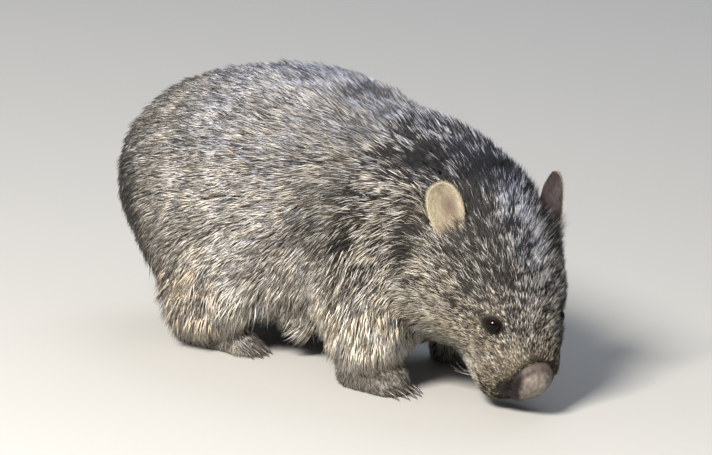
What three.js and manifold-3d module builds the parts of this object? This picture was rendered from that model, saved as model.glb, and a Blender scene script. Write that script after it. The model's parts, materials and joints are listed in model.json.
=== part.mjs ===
// A bare-nosed wombat, life size, standing and grazing with its head turned to its right.
// Millimetres, +Z up, +X the way the trunk faces, +Y the animal's left, floor at Z = 0.
import * as THREE from "three";
import { mergeVertices } from "three/addons/utils/BufferGeometryUtils.js";
import Module from "manifold-3d";

const wasm = await Module();
wasm.setup();

// Driving dimensions.
const GAP = 0.3; // left between two nodes that meet
const BACK_HEIGHT = 334; // floor to the top of the back, coat included
const TRUNK_HALF_WIDTH = 150;
const BELLY_HEIGHT = 50;
const TRUNK_BACK = -190; // the trunk's middle line runs from here
const TRUNK_FRONT = 112; // to here, where the neck begins
const TRUNK_LINE_HEIGHT = 172;
const STANCE_HALF_WIDTH = 92; // from the middle plane to the middle of each foot
const HIND_HEEL_X = -147;
const HIND_TOE_X = -84;
const FORE_HEEL_X = 88;
const FORE_TOE_X = 124;
const ANKLE_HEIGHT = 30; // the level where each leg meets its foot
const TOES = {
  hind: { count: 4, spacing: 12, radius: 9, claw: 17 },
  fore: { count: 5, spacing: 11.5, radius: 9, claw: 22 },
};
const CLAW_RADIUS = 3.6;
const NOSE_WIDTH = 50;
const NOSE_HEIGHT = 32;
const EYE_RADIUS = 9.5;
const EYE_DEPTH = 0.6; // from the coat's outline in to the front of the eye
const EYE_OPENING = [18, 12];
const LID_THICKNESS = 2.6;
const EAR_LENGTH = 58;
const EAR_WIDTH = 44;
const EAR_THICKNESS = 3;
const TAIL_LENGTH = 26;
const HEAD_PLACE = [190, -11, 178];
const HEAD_YAW = -18; // degrees about +Z, towards the animal's right
const HEAD_PITCH = 56; // degrees down from level
const HEAD_ROLL = 6; // its left side raised

const SIDES = { right: -1, left: 1 };
const degrees = THREE.MathUtils.degToRad;
const vector = (p) => new THREE.Vector3(...p);

// The pose of a thing in the body: a rotation in degrees about X, Y and Z, then a place.
function pose(place, turn = [0, 0, 0], parent = new THREE.Matrix4()) {
  const euler = new THREE.Euler(...turn.map(degrees), "ZYX");
  const own = new THREE.Matrix4().makeRotationFromEuler(euler).setPosition(...place);
  return parent.clone().multiply(own);
}

const headPose = pose(HEAD_PLACE, [HEAD_ROLL, HEAD_PITCH, HEAD_YAW]);
const headPoint = (p) => vector(p).applyMatrix4(headPose).toArray();
const headDirection = (p) => vector(p).transformDirection(headPose).toArray();

// Forms of the flesh. Each gives the distance from a point to its surface, negative inside.

function ball(place, radii, turn = [0, 0, 0], blend = 40, parent = undefined) {
  const inward = pose(place, turn, parent).invert();
  const [rx, ry, rz] = radii;
  const local = new THREE.Vector3();
  const distance = (point) => {
    local.copy(point).applyMatrix4(inward);
    const near = Math.hypot(local.x / rx, local.y / ry, local.z / rz);
    const slope = Math.hypot(local.x / (rx * rx), local.y / (ry * ry), local.z / (rz * rz));
    return slope < 1e-9 ? -Math.min(rx, ry, rz) : (near * (near - 1)) / slope;
  };
  return { distance, blend };
}

// A round-ended limb from one point to another, its radius changing along the way.
function limb(from, to, fromRadius, toRadius, blend = 25) {
  const start = vector(from);
  const along = vector(to).sub(start);
  const lengthSquared = along.lengthSq();
  const offset = new THREE.Vector3();
  const distance = (point) => {
    offset.copy(point).sub(start);
    const share = THREE.MathUtils.clamp(offset.dot(along) / lengthSquared, 0, 1);
    offset.addScaledVector(along, -share);
    return offset.length() - THREE.MathUtils.lerp(fromRadius, toRadius, share);
  };
  return { distance, blend };
}

function softMinimum(a, b, blend) {
  const share = Math.max(blend - Math.abs(a - b), 0) / blend;
  return Math.min(a, b) - (share * share * blend) / 4;
}

const trunkForms = [
  ball([-170, 0, 173], [152, 138, 133]),
  ball([-65, 0, 190], [178, TRUNK_HALF_WIDTH, BACK_HEIGHT - 192]),
  ball([-50, 0, 150], [170, 132, 150 - BELLY_HEIGHT]),
  ball([88, 0, 178], [116, 126, 124]),
  ball([125, -5, 140], [78, 95, 80]),
];
const neckForms = [ball([165, -10, 178], [92, 76, 97]), ball([138, -8, 148], [80, 94, 82])];
const inHead = (place, radii, turn, blend = 22) => ball(place, radii, turn, blend, headPose);
const headForms = [
  inHead([2, 0, 0], [84, 72, 64]),
  inHead([62, 0, 8], [78, 69, 58]),
  inHead([122, 0, -4], [58, 50, 42]),
  inHead([148, 0, -10], [32, 42, 34]),
  inHead([96, 0, -50], [74, 44, 32]),
  inHead([142, 0, -50], [28, 28, 20], undefined, 12),
];
for (const side of Object.values(SIDES)) {
  headForms.push(inHead([38, side * 46, -24], [66, 42, 54]));
  headForms.push(inHead([146, side * 22, -30], [30, 24, 20], undefined, 12));
}
// The middle of each toe of one foot, in an arc round the front of the sole.
function toePlaces(end, side) {
  const { count, spacing, radius } = TOES[end];
  const frontX = (end === "hind" ? HIND_TOE_X : FORE_TOE_X) + 16;
  return Array.from({ length: count }, (_, i) => {
    const across = i - (count - 1) / 2;
    return [frontX - across * across * 2.2, side * STANCE_HALF_WIDTH + across * spacing, radius];
  });
}

const TOE_BLEND = 5; // a small one, so that each toe stays a bump of its own
const haunchForms = [];
const shinForms = [];
const footForms = [];
const shoulderForms = [];
for (const side of Object.values(SIDES)) {
  const y = side * STANCE_HALF_WIDTH;
  haunchForms.push(ball([-130, y, 118], [78, 57, 87]));
  haunchForms.push(ball([80, y, 138], [70, 50, 86]));
  shoulderForms.push(ball([80, y, 138], [70, 50, 86], [0, 0, 0], 14));
  shinForms.push(limb([-130, y, 95], [-132, y, 30], 46, 36));
  shinForms.push(limb([92, y, 100], [102, y, 30], 44, 36));
  footForms.push(limb([HIND_HEEL_X, y, 16], [HIND_TOE_X, y, 13], 26, 22, 15));
  footForms.push(limb([FORE_HEEL_X, y, 16], [FORE_TOE_X, y, 13], 28, 24, 15));
  for (const [end, { radius }] of Object.entries(TOES))
    for (const toe of toePlaces(end, side))
      footForms.push(ball(toe, [13, radius - 1.5, radius], [0, 0, 0], TOE_BLEND));
}
const legless = [...trunkForms, ...neckForms, ...headForms];
const footless = [...legless, ...haunchForms];
const whole = [...footless, ...shinForms];
const feet = [...haunchForms, ...shinForms, ...footForms];
const headAndShoulders = [...legless, ...shoulderForms];

// Distance from a point to the skin of these forms, all flowing together.
function fleshDistance(point, forms) {
  let nearest = 1e6;
  for (const form of forms) nearest = softMinimum(nearest, form.distance(point), form.blend);
  return nearest;
}

// How far from a root, along a ray, the skin lies.
const COARSE_STEP = 4;
const HALVINGS = 14;
function reachSkin(root, ray, furthest, outwards = 0, forms = whole) {
  const probe = new THREE.Vector3();
  const at = (distance) => probe.copy(root).addScaledVector(ray, distance);
  const within = (distance) => fleshDistance(at(distance), forms) < outwards;
  let inside = 0;
  let outside = 0;
  while (outside < furthest && within(outside)) {
    inside = outside;
    outside += COARSE_STEP;
  }
  if (outside >= furthest) return furthest;
  for (let step = 0; step < HALVINGS; step++) {
    const middle = (inside + outside) / 2;
    if (within(middle)) inside = middle;
    else outside = middle;
  }
  return inside;
}

// Solids.

function solidOf(geometry) {
  const bare = geometry.clone();
  bare.deleteAttribute("normal");
  bare.deleteAttribute("uv");
  const merged = mergeVertices(bare, 1e-4);
  const mesh = new wasm.Mesh({
    numProp: 3,
    vertProperties: new Float32Array(merged.attributes.position.array),
    triVerts: new Uint32Array(merged.index.array),
  });
  return new wasm.Manifold(mesh);
}

function geometryOf(solid) {
  const { vertProperties, triVerts } = solid.getMesh();
  const geometry = new THREE.BufferGeometry();
  geometry.setAttribute("position", new THREE.BufferAttribute(vertProperties, 3));
  geometry.setIndex(new THREE.BufferAttribute(triVerts, 1));
  geometry.computeVertexNormals();
  return geometry;
}

// The largest closed surface of a solid, without scraps or sealed hollows.
function largest(solid) {
  const pieces = solid.decompose();
  return pieces.reduce((best, piece) => (piece.volume() > best.volume() ? piece : best));
}

// Moves each point of a capsule out along its own ray until it meets the skin.
function fleshRound(from, to, [rings, round, along], furthest, outwards = 0, forms = whole) {
  const start = vector(from);
  const axis = vector(to).sub(start);
  const length = axis.length();
  const capsule = new THREE.CapsuleGeometry(1, length, rings, round, along);
  const upwards = new THREE.Vector3(0, 1, 0);
  const turn = new THREE.Quaternion().setFromUnitVectors(upwards, axis.clone().normalize());
  const places = capsule.getAttribute("position");
  const ray = new THREE.Vector3();
  const root = new THREE.Vector3();
  for (let i = 0; i < places.count; i++) {
    ray.fromBufferAttribute(places, i);
    const onAxis = THREE.MathUtils.clamp(ray.y, -length / 2, length / 2);
    ray.y -= onAxis;
    ray.normalize().applyQuaternion(turn);
    root.copy(start).addScaledVector(axis, onAxis / length + 0.5);
    root.addScaledVector(ray, reachSkin(root, ray, furthest, outwards, forms));
    places.setXYZ(i, root.x, root.y, root.z);
  }
  return solidOf(capsule);
}

function stretchedBall(radii, matrix, [round, rings] = [20, 12], grow = 0) {
  const geometry = new THREE.SphereGeometry(1, round, rings);
  geometry.scale(...radii.map((radius) => radius + grow));
  return solidOf(geometry.applyMatrix4(matrix));
}

// A block that fills the side of a plane that its normal points to.
const BLOCK = 900;
function beyond(point, normal) {
  const geometry = new THREE.BoxGeometry(BLOCK, BLOCK, BLOCK).translate(0, 0, BLOCK / 2);
  const upwards = new THREE.Vector3(0, 0, 1);
  const facing = new THREE.Quaternion().setFromUnitVectors(upwards, vector(normal).normalize());
  return solidOf(geometry.applyQuaternion(facing).translate(...point));
}

const shifted = (point, normal, distance) =>
  vector(point).addScaledVector(vector(normal).normalize(), distance).toArray();

// Where the trunk, neck and head part from each other.
const TRUNK_CUT = { point: [TRUNK_FRONT, 0, 0], normal: [1, -0.08, 0] };
const HEAD_CUT = { point: headPoint([-60, 0, 60]), normal: headDirection([0.82, 0, 0.57]) };
const ahead = (cut, gap = 0) => beyond(shifted(cut.point, cut.normal, gap), cut.normal);

// The part of the flesh that belongs to each leg, above its foot.
const LEG_REGIONS = {
  hind: { middle: [-134, 66], radii: [88, 106] },
  fore: { middle: [92, 78], radii: [62, 116] },
};
const LEG_INNER_SIDE = 42; // from the middle plane
const LEG_DEPTH = 140;
function legRegion(end, side, grow = 0) {
  const { middle, radii } = LEG_REGIONS[end];
  const disc = new THREE.CylinderGeometry(1, 1, LEG_DEPTH + grow, 48);
  disc.scale(radii[0] + grow, 1, radii[1] + grow);
  disc.translate(middle[0], side * (LEG_INNER_SIDE + (LEG_DEPTH - grow) / 2), middle[1]);
  return solidOf(disc);
}

const materials = {
  coat: new THREE.MeshStandardMaterial({ color: 0x8d867c, roughness: 0.95, metalness: 0 }),
  paleCoat: new THREE.MeshStandardMaterial({ color: 0xa8a08e, roughness: 0.95, metalness: 0 }),
  ear: new THREE.MeshStandardMaterial({ color: 0xc4b397, roughness: 0.8, metalness: 0 }),
  nose: new THREE.MeshStandardMaterial({ color: 0x8c7f74, roughness: 0.6, metalness: 0 }),
  eye: new THREE.MeshStandardMaterial({ color: 0x1a0f0b, roughness: 0.08, metalness: 0 }),
  claw: new THREE.MeshStandardMaterial({ color: 0x4a4038, roughness: 0.45, metalness: 0 }),
};
for (const [name, material] of Object.entries(materials)) material.name = name;
const animal = new THREE.Group();

function add(name, solid, material) {
  const mesh = new THREE.Mesh(geometryOf(largest(solid)), material);
  mesh.name = name;
  animal.add(mesh);
}

const floorUp = beyond([0, 0, 0], [0, 0, 1]);
const offFloor = beyond([0, 0, 2], [0, 0, 1]);

// Locks of long hair hang where the coat ends: round the legs, under the belly and on the cheeks.

let seed = 7;
function vary(low, high) {
  seed = (seed * 16807) % 2147483647;
  return low + ((high - low) * seed) / 2147483647;
}

// The direction in which the skin faces.
function skinFacing(point, forms) {
  const step = 2;
  const slopes = ["x", "y", "z"].map((axis) => {
    const [higher, lower] = [point.clone(), point.clone()];
    higher[axis] += step;
    lower[axis] -= step;
    return fleshDistance(higher, forms) - fleshDistance(lower, forms);
  });
  return vector(slopes).normalize();
}

// A flat tapered lock. It leaves the skin at a low angle and bends down along its length.
const LOCK_SIDES = 5;
const LOCK_RINGS = 3;
const ROOT_DEPTH = 10;
const LOCK_FLATNESS = 0.36;
function lock(skin, facing, lie, length, width) {
  const geometry = new THREE.ConeGeometry(1, 1, LOCK_SIDES, LOCK_RINGS).translate(0, 0.5, 0);
  const across = new THREE.Vector3().crossVectors(lie, facing).normalize();
  const places = geometry.getAttribute("position");
  const point = new THREE.Vector3();
  for (let i = 0; i < places.count; i++) {
    const share = places.getY(i);
    const breadth = Math.sin(Math.PI * (0.2 + 0.8 * share)) ** 0.7 / Math.max(1 - share, 1e-6);
    point.copy(skin).addScaledVector(facing, -ROOT_DEPTH * (1 - share) ** 2 + 1.5);
    point.addScaledVector(lie, length * share);
    point.z -= length * 0.12 * share * share;
    point.addScaledVector(across, places.getX(i) * breadth * (width / 2));
    point.addScaledVector(facing, places.getZ(i) * breadth * (width / 2) * LOCK_FLATNESS);
    places.setXYZ(i, point.x, point.y, point.z);
  }
  return solidOf(geometry);
}

// A row of locks: each is rooted where its ray meets the skin, and lies down along it.
function fringe(rows, forms = whole) {
  const locks = [];
  for (const { from, angles, count, tilt, length, width, lift = 0.12, sweep = 0 } of rows)
    for (let i = 0; i < count; i++) {
      const share = count > 1 ? i / (count - 1) : 0.5;
      const angle = degrees(THREE.MathUtils.lerp(...angles, share) + vary(-3, 3));
      const root = from(share);
      const slope = degrees(tilt);
      const flat = Math.cos(slope);
      const ray = new THREE.Vector3(Math.cos(angle) * flat, Math.sin(angle) * flat, Math.sin(slope));
      const skin = root.clone().addScaledVector(ray, reachSkin(root, ray, 260, 0, forms));
      const facing = skinFacing(skin, forms);
      const lie = new THREE.Vector3(sweep + vary(-0.1, 0.1), vary(-0.06, 0.06), -1);
      lie.addScaledVector(facing, -lie.dot(facing)).normalize();
      lie.addScaledVector(facing, lift + vary(-0.05, 0.05));
      locks.push(lock(skin, facing, lie, length * vary(0.88, 1.1), width * vary(0.85, 1.15)));
    }
  return locks;
}
const united = (solids) => wasm.Manifold.union(solids);

// Trunk, tail and neck.

const TRUNK_LINE = [TRUNK_BACK, TRUNK_FRONT].map((x) => [x, 0, TRUNK_LINE_HEIGHT]);
const TRUNK_MESH = [7, 30, 12];
const trunkFlesh = (outwards = 0) => fleshRound(...TRUNK_LINE, TRUNK_MESH, 420, outwards, footless);

const trunkGrown = trunkFlesh(GAP);

// Hair that hangs from the flanks' lower edge and the belly, between the legs of each side.
const BELLY_FRINGES = [
  { fromX: -84, height: 96, tilt: -16, length: 56, width: 34, lift: 0.3 },
  { fromX: -70, height: 82, tilt: -36, length: 50, width: 36, lift: 0.75 },
];
const BELLY_FRINGE_FRONT = 38;
function bellyFringe(side) {
  const rows = BELLY_FRINGES.map(({ fromX, height, ...row }) => {
    const rootX = (share) => THREE.MathUtils.lerp(fromX, BELLY_FRINGE_FRONT, share);
    const from = (share) => new THREE.Vector3(rootX(share), side * 30, height);
    return { ...row, from, angles: [side * 90, side * 90], count: 4, sweep: -0.25 };
  });
  return united(fringe(rows, footless)).intersect(offFloor);
}

function torso() {
  let solid = trunkFlesh().subtract(ahead(TRUNK_CUT));
  for (const side of Object.values(SIDES))
    for (const end of ["hind", "fore"]) solid = solid.subtract(legRegion(end, side, GAP));
  for (const side of Object.values(SIDES)) {
    let locks = bellyFringe(side);
    for (const end of ["hind", "fore"]) {
      locks = locks.subtract(legRegion(end, side, GAP)).subtract(footFlesh(end, side, GAP));
      locks = locks.subtract(legFringe(end, side));
    }
    solid = solid.add(locks);
  }
  return solid;
}

// A short stub that hangs at the rump, almost lost in the coat.
function tail() {
  const root = new THREE.Vector3(TRUNK_BACK, 0, 118);
  const ray = new THREE.Vector3(-1, 0, -0.25).normalize();
  root.addScaledVector(ray, reachSkin(root, ray, 300) - 8);
  const cone = new THREE.CylinderGeometry(4, 11, TAIL_LENGTH, 12, 2).translate(0, TAIL_LENGTH / 2, 0);
  const lie = new THREE.Vector3(-0.62, 0, -0.78).normalize();
  const turn = new THREE.Quaternion().setFromUnitVectors(new THREE.Vector3(0, 1, 0), lie);
  cone.applyQuaternion(turn).translate(...root.toArray());
  return solidOf(cone).subtract(trunkFlesh(GAP));
}

const NECK_LINE = [[138, -4, 180], [165, -10, 180]];
const neckFlesh = (outwards = 0) => fleshRound(...NECK_LINE, [9, 32, 3], 170, outwards);

function neck() {
  const flesh = neckFlesh();
  let solid = flesh.intersect(ahead(TRUNK_CUT, GAP)).subtract(ahead(HEAD_CUT));
  for (const side of Object.values(SIDES)) solid = solid.subtract(legRegion("fore", side, GAP));
  return solid;
}

// Eyes and their lids.

const EYE_AIM = { from: [100, 0, 10], towards: [0.12, 0.9, 0.38] };
function eyePose(side) {
  const aim = [EYE_AIM.towards[0], side * EYE_AIM.towards[1], EYE_AIM.towards[2]];
  const root = vector(headPoint(EYE_AIM.from));
  const ray = vector(headDirection(aim)).normalize();
  const place = root.addScaledVector(ray, reachSkin(root, ray, 120) - EYE_RADIUS - EYE_DEPTH);
  // The eye looks along its own +Z, with +X towards the inner corner.
  const inward = vector(headDirection([1, 0, -0.45]));
  const up = new THREE.Vector3().crossVectors(ray, inward).normalize();
  inward.crossVectors(up, ray);
  return new THREE.Matrix4().makeBasis(inward, up, ray).setPosition(place);
}

const EYE_MESH = [14, 8];
const eyeBall = (side, grow = 0) =>
  stretchedBall([EYE_RADIUS, EYE_RADIUS, EYE_RADIUS], eyePose(side), EYE_MESH, grow);

function eyeOpening(side) {
  const [width, height] = EYE_OPENING;
  const almond = new THREE.Shape();
  almond.moveTo(-width / 2, 0);
  almond.quadraticCurveTo(0, height, width / 2, 0);
  almond.quadraticCurveTo(0, -height, -width / 2, 0);
  const geometry = new THREE.ExtrudeGeometry(almond, { depth: 30, bevelEnabled: false, curveSegments: 6 });
  return solidOf(geometry.applyMatrix4(eyePose(side)));
}

function withLids(head, side) {
  const radius = EYE_RADIUS + LID_THICKNESS;
  const lids = stretchedBall([radius, radius * 0.86, radius], eyePose(side), EYE_MESH);
  return head.add(lids).subtract(eyeBall(side, GAP)).subtract(eyeOpening(side));
}

// The mouth's line lies in the plane that parts the lower jaw, round the front of the muzzle.

const MOUTH_MIDDLE = headPoint([112, 0, -32]);
const MOUTH_FORWARD = headDirection([1, 0, 0.12]);
const MOUTH_UP = headDirection([-0.12, 0, 1]);
const MOUTH_HALF_ANGLE = 80;
const LIP_GROOVE = 2.2;
const JAW_BACK_X = 92;

function mouthGroove() {
  const middle = vector(MOUTH_MIDDLE);
  const sideways = vector(headDirection([0, 1, 0]));
  const points = [];
  for (let step = -6; step <= 6; step++) {
    const angle = degrees((step / 6) * MOUTH_HALF_ANGLE);
    const ray = vector(MOUTH_FORWARD).multiplyScalar(Math.cos(angle));
    ray.addScaledVector(sideways, Math.sin(angle));
    points.push(middle.clone().addScaledVector(ray, reachSkin(middle, ray, 120)));
  }
  const path = new THREE.CatmullRomCurve3(points);
  const round = new THREE.Shape().absarc(0, 0, LIP_GROOVE, 0, Math.PI * 2);
  return solidOf(new THREE.ExtrudeGeometry(round, { steps: 24, curveSegments: 3, extrudePath: path }));
}

const belowMouth = (gap) =>
  beyond(shifted(MOUTH_MIDDLE, MOUTH_UP, -gap), vector(MOUTH_UP).negate().toArray())
    .intersect(beyond(headPoint([JAW_BACK_X + gap, 0, 0]), headDirection([1, 0, 0])));

// The bare nose pad, set into the front of the muzzle, and its nostrils.

const PAD_TILT = -44; // its face turned up from the head's own forward direction
const PAD_DEPTH = 11;

function padPose() {
  const root = vector(headPoint([130, 0, -20]));
  const ray = vector(headDirection([0.79, 0, 0.61])).normalize();
  root.addScaledVector(ray, reachSkin(root, ray, 120));
  const local = root.applyMatrix4(headPose.clone().invert()).toArray();
  return pose([local[0] - 5, local[1], local[2] - 5], [0, PAD_TILT, 0], headPose);
}

function nosePad(grow = 0) {
  const geometry = new THREE.SphereGeometry(1, 18, 9);
  geometry.scale(PAD_DEPTH + grow, NOSE_WIDTH / 2 + grow, NOSE_HEIGHT / 2 + grow);
  const places = geometry.getAttribute("position");
  for (let i = 0; i < places.count; i++) {
    const down = THREE.MathUtils.clamp(-places.getZ(i) / NOSE_HEIGHT, -0.5, 0.5);
    places.setY(i, places.getY(i) * (1 - 0.25 * down));
  }
  return solidOf(geometry.applyMatrix4(padPose()));
}

function nostril(side) {
  const slit = new THREE.Matrix4().makeTranslation(8, side * 13.5, -2);
  slit.multiply(pose([0, 0, 0], [side * 38, 0, side * 30]));
  return stretchedBall([9, 2.6, 6], padPose().multiply(slit), [10, 6]);
}

// Ears.

const EAR_ROOT = { right: [-3, 69, 38], left: [0, 62, 36] };
const EAR_RISE = { right: [-0.91, 0.16, 0.38], left: [-0.9, 0.12, 0.38] };
const EAR_FACE = { right: [0.3, 0.62, 0.7], left: [0.1, 0.9, 0.35] };

// The ear stands along its own +Y and opens towards its own +Z.
function earPose(sideName) {
  const side = SIDES[sideName];
  const mirror = ([x, y, z]) => vector(headDirection([x, side * y, z]));
  const rise = mirror(EAR_RISE[sideName]).normalize();
  const face = mirror(EAR_FACE[sideName]);
  const across = new THREE.Vector3().crossVectors(rise, face).normalize();
  face.crossVectors(across, rise);
  const [x, y, z] = EAR_ROOT[sideName];
  const root = vector(headPoint([x, side * y, z]));
  return new THREE.Matrix4().makeBasis(across, rise, face).setPosition(root);
}

function ear(sideName) {
  const upright = earPose(sideName);
  const shape = (radii, place, mesh) => stretchedBall(radii, upright.clone().multiply(pose(place)), mesh);
  const outer = shape([EAR_WIDTH / 2, EAR_LENGTH / 2, 14], [0, EAR_LENGTH / 2, 0], [14, 9]);
  const inside = [EAR_WIDTH / 2 - EAR_THICKNESS, EAR_LENGTH / 2 - EAR_THICKNESS, 14];
  const hollow = shape(inside, [0, EAR_LENGTH / 2, 6.5], [14, 9]);
  const stem = shape([15, 22, 12], [0, 2, -4], [10, 7]);
  return outer.add(stem).subtract(hollow);
}

// Head: skull, cheeks and muzzle in one, parted from the lower jaw by the mouth.

const SKULL_LINE = [headPoint([-10, 0, -8]), headPoint([134, 0, -16])];
const SKULL_MESH = [7, 30, 10];
const skull = (outwards = 0) => fleshRound(...SKULL_LINE, SKULL_MESH, 190, outwards, headAndShoulders);

function addHead() {
  const grown = skull(GAP);
  const neckGrown = neckFlesh(GAP);
  let solid = skull().intersect(ahead(HEAD_CUT, GAP)).intersect(ahead(TRUNK_CUT, GAP));
  solid = solid.subtract(mouthGroove());
  for (const [sideName, side] of Object.entries(SIDES)) {
    solid = withLids(solid, side).subtract(legRegion("fore", side, GAP));
    add("eye_" + sideName, eyeBall(side), materials.eye);
    add("ear_" + sideName, ear(sideName).subtract(grown).subtract(neckGrown), materials.ear);
  }
  solid = solid.subtract(nosePad(GAP));
  add("nose_pad", nosePad().subtract(nostril(-1)).subtract(nostril(1)), materials.nose);
  add("lower_jaw", solid.intersect(belowMouth(GAP)), materials.coat);
  add("head", solid.subtract(belowMouth(0)), materials.coat);
}

// Legs, feet and claws.

const LEG_LINES = {
  hind: (y) => [[-132, y, 105], [-132, y, 25]],
  fore: (y) => [[92, y, 105], [102, y, 25]],
};
const SOLE_LINES = {
  hind: (y) => [[HIND_HEEL_X, y, 14], [HIND_TOE_X, y, 12]],
  fore: (y) => [[FORE_HEEL_X, y, 14], [FORE_TOE_X, y, 12]],
};

// Angles are from the front, turning to the animal's right on its right side.
const LEG_FRINGES = {
  hind: [
    { height: 92, angles: [30, 104], count: 5, length: 62, width: 36 },
    { height: 60, angles: [20, 138], count: 6, length: 52, width: 30 },
  ],
  fore: [
    { height: 100, angles: [35, 122], count: 5, length: 62, width: 30 },
    { height: 64, angles: [28, 165], count: 6, length: 54, width: 26 },
  ],
};

function legFringe(end, side) {
  const [top, bottom] = LEG_LINES[end](side * STANCE_HALF_WIDTH).map(vector);
  const rows = LEG_FRINGES[end].map((row) => {
    const share = (top.z - row.height) / (top.z - bottom.z);
    const angles = row.angles.map((angle) => side * angle);
    return { ...row, angles, tilt: 0, from: () => top.clone().lerp(bottom, share) };
  });
  const clear = trunkGrown.subtract(legRegion(end, side));
  const inside = beyond([0, side * (LEG_INNER_SIDE + 1), 0], [0, side, 0]);
  return united(fringe(rows)).subtract(clear).subtract(footFlesh(end, side, GAP)).intersect(inside);
}

const aboveFoot = beyond([0, 0, ANKLE_HEIGHT + GAP], [0, 0, 1]);

function leg(end, side) {
  const flesh = fleshRound(...LEG_LINES[end](side * STANCE_HALF_WIDTH), [5, 20, 8], 120);
  const bare = flesh.intersect(legRegion(end, side)).intersect(aboveFoot);
  return bare.add(legFringe(end, side)).intersect(offFloor);
}

// A tapered claw, curving down from its toe to just above the floor.
function claw([x, y, z], end, grow = 0) {
  const length = TOES[end].claw;
  const geometry = new THREE.CylinderGeometry(0.7 + grow, CLAW_RADIUS + grow, length + 2 * grow, 6, 2);
  geometry.translate(0, length / 2, 0).rotateZ(-Math.PI / 2);
  const places = geometry.getAttribute("position");
  for (let i = 0; i < places.count; i++) {
    const share = places.getX(i) / length;
    places.setY(i, places.getY(i) * 0.75);
    places.setZ(i, places.getZ(i) - share * share * 5);
  }
  return solidOf(geometry.translate(x + TOES[end].radius - 3, y, z - 1.5));
}

function footFlesh(end, side, outwards = 0) {
  const line = SOLE_LINES[end](side * STANCE_HALF_WIDTH);
  return fleshRound(...line, [5, 18, 4], 70, outwards, feet);
}

function addFoot(end, sideName) {
  const side = SIDES[sideName];
  let solid = footFlesh(end, side).intersect(floorUp).subtract(beyond([0, 0, ANKLE_HEIGHT], [0, 0, 1]));
  toePlaces(end, side).forEach((place, i) => {
    solid = solid.subtract(claw(place, end, GAP));
    add(`claw_${end}_${sideName}_${i + 1}`, claw(place, end), materials.claw);
  });
  add(`${end}foot_${sideName}`, solid, materials.paleCoat);
}

add("torso", torso(), materials.coat);
add("neck", neck(), materials.coat);
add("tail", tail(), materials.coat);
addHead();
for (const end of ["hind", "fore"])
  for (const [sideName, side] of Object.entries(SIDES)) {
    add(`${end}leg_${sideName}`, leg(end, side), materials.coat);
    addFoot(end, sideName);
  }

// The middle of the box round the whole animal stands over the origin.
const bounds = new THREE.Box3().setFromObject(animal);
const middle = bounds.getCenter(new THREE.Vector3());
animal.position.set(-middle.x, -middle.y, -bounds.min.z);

export default animal;
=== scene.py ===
"""A grazing bare-nosed wombat, life size: skin, coat, face, ears, feet and claws, in metres.

+X is the way the trunk faces, +Y the animal's left and +Z up, with the floor at Z = 0.
"""

from __future__ import annotations

import json
import logging
import math
import sys
from collections.abc import Callable, Iterable, Iterator
from contextlib import contextmanager
from dataclasses import dataclass, field
from enum import Enum
from functools import partial

import bmesh
import bpy
import numpy as np
from bmesh.types import BMEdge, BMesh, BMVert
from bpy.types import Material, Mesh, Node, NodeTree, Object
from mathutils import Matrix, Vector, noise
from mathutils.kdtree import KDTree

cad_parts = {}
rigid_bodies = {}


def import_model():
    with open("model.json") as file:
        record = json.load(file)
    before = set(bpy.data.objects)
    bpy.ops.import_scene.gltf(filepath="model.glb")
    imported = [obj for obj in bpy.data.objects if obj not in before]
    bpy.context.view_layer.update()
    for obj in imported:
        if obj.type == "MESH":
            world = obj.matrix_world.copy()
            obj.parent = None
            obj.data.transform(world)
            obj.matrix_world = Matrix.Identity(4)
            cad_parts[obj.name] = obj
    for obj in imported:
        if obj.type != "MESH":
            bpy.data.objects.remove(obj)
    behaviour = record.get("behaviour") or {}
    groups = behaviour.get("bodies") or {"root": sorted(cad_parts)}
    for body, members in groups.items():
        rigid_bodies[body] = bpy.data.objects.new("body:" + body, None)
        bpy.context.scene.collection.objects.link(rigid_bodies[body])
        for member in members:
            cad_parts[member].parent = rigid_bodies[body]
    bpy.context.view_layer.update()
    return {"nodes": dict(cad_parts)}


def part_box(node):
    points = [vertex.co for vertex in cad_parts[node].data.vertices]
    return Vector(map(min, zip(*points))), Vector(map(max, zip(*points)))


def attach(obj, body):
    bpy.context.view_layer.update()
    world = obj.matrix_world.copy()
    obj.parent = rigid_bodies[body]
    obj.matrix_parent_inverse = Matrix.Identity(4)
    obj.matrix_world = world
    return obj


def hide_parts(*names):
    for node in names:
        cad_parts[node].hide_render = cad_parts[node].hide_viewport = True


for stray in list(bpy.data.objects):
    bpy.data.objects.remove(stray)
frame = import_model()

log = logging.getLogger("wombat")

Triple = tuple[float, float, float]
MM = 0.001
SIDES = {"right": -1.0, "left": 1.0}
LEGS = tuple(f"{end}leg_{side}" for end in ("hind", "fore") for side in SIDES)
FEET = tuple(f"{end}foot_{side}" for end in ("hind", "fore") for side in SIDES)
FLESH = ("torso", "neck", "tail", "head", "lower_jaw") + LEGS + FEET
BODY = "root"


class Slot(Enum):
    """The record's material slots."""

    COAT = "coat"
    PALE_COAT = "paleCoat"
    EAR = "ear"
    NOSE = "nose"
    EYE = "eye"
    CLAW = "claw"


# Small tools for meshes and points.


def unit(vectors: np.ndarray) -> np.ndarray:
    """Gives each row the length 1."""
    return vectors / np.maximum(np.linalg.norm(vectors, axis=1, keepdims=True), 1e-9)


def along_skin(ways: np.ndarray, up: np.ndarray) -> np.ndarray:
    """Lays directions down along the skin, whose own facing is given."""
    return unit(ways - up * (ways * up).sum(axis=1, keepdims=True))


def ramp(
    values: np.ndarray, low: float, high: float, first: float = 0.0, last: float = 1.0
) -> np.ndarray:
    """Goes evenly from a first value at low and under it to a last value at high and over it."""
    return np.interp(values, [low, high], [first, last])


def speckle(points: np.ndarray, coarse: float, fine: float, share: float) -> np.ndarray:
    """Noise of two sizes, both in waves per metre, the finer one by a share."""
    places = [Vector(point) for point in points]
    return np.array([noise.noise(p * coarse) + share * noise.noise(p * fine) for p in places])


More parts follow.
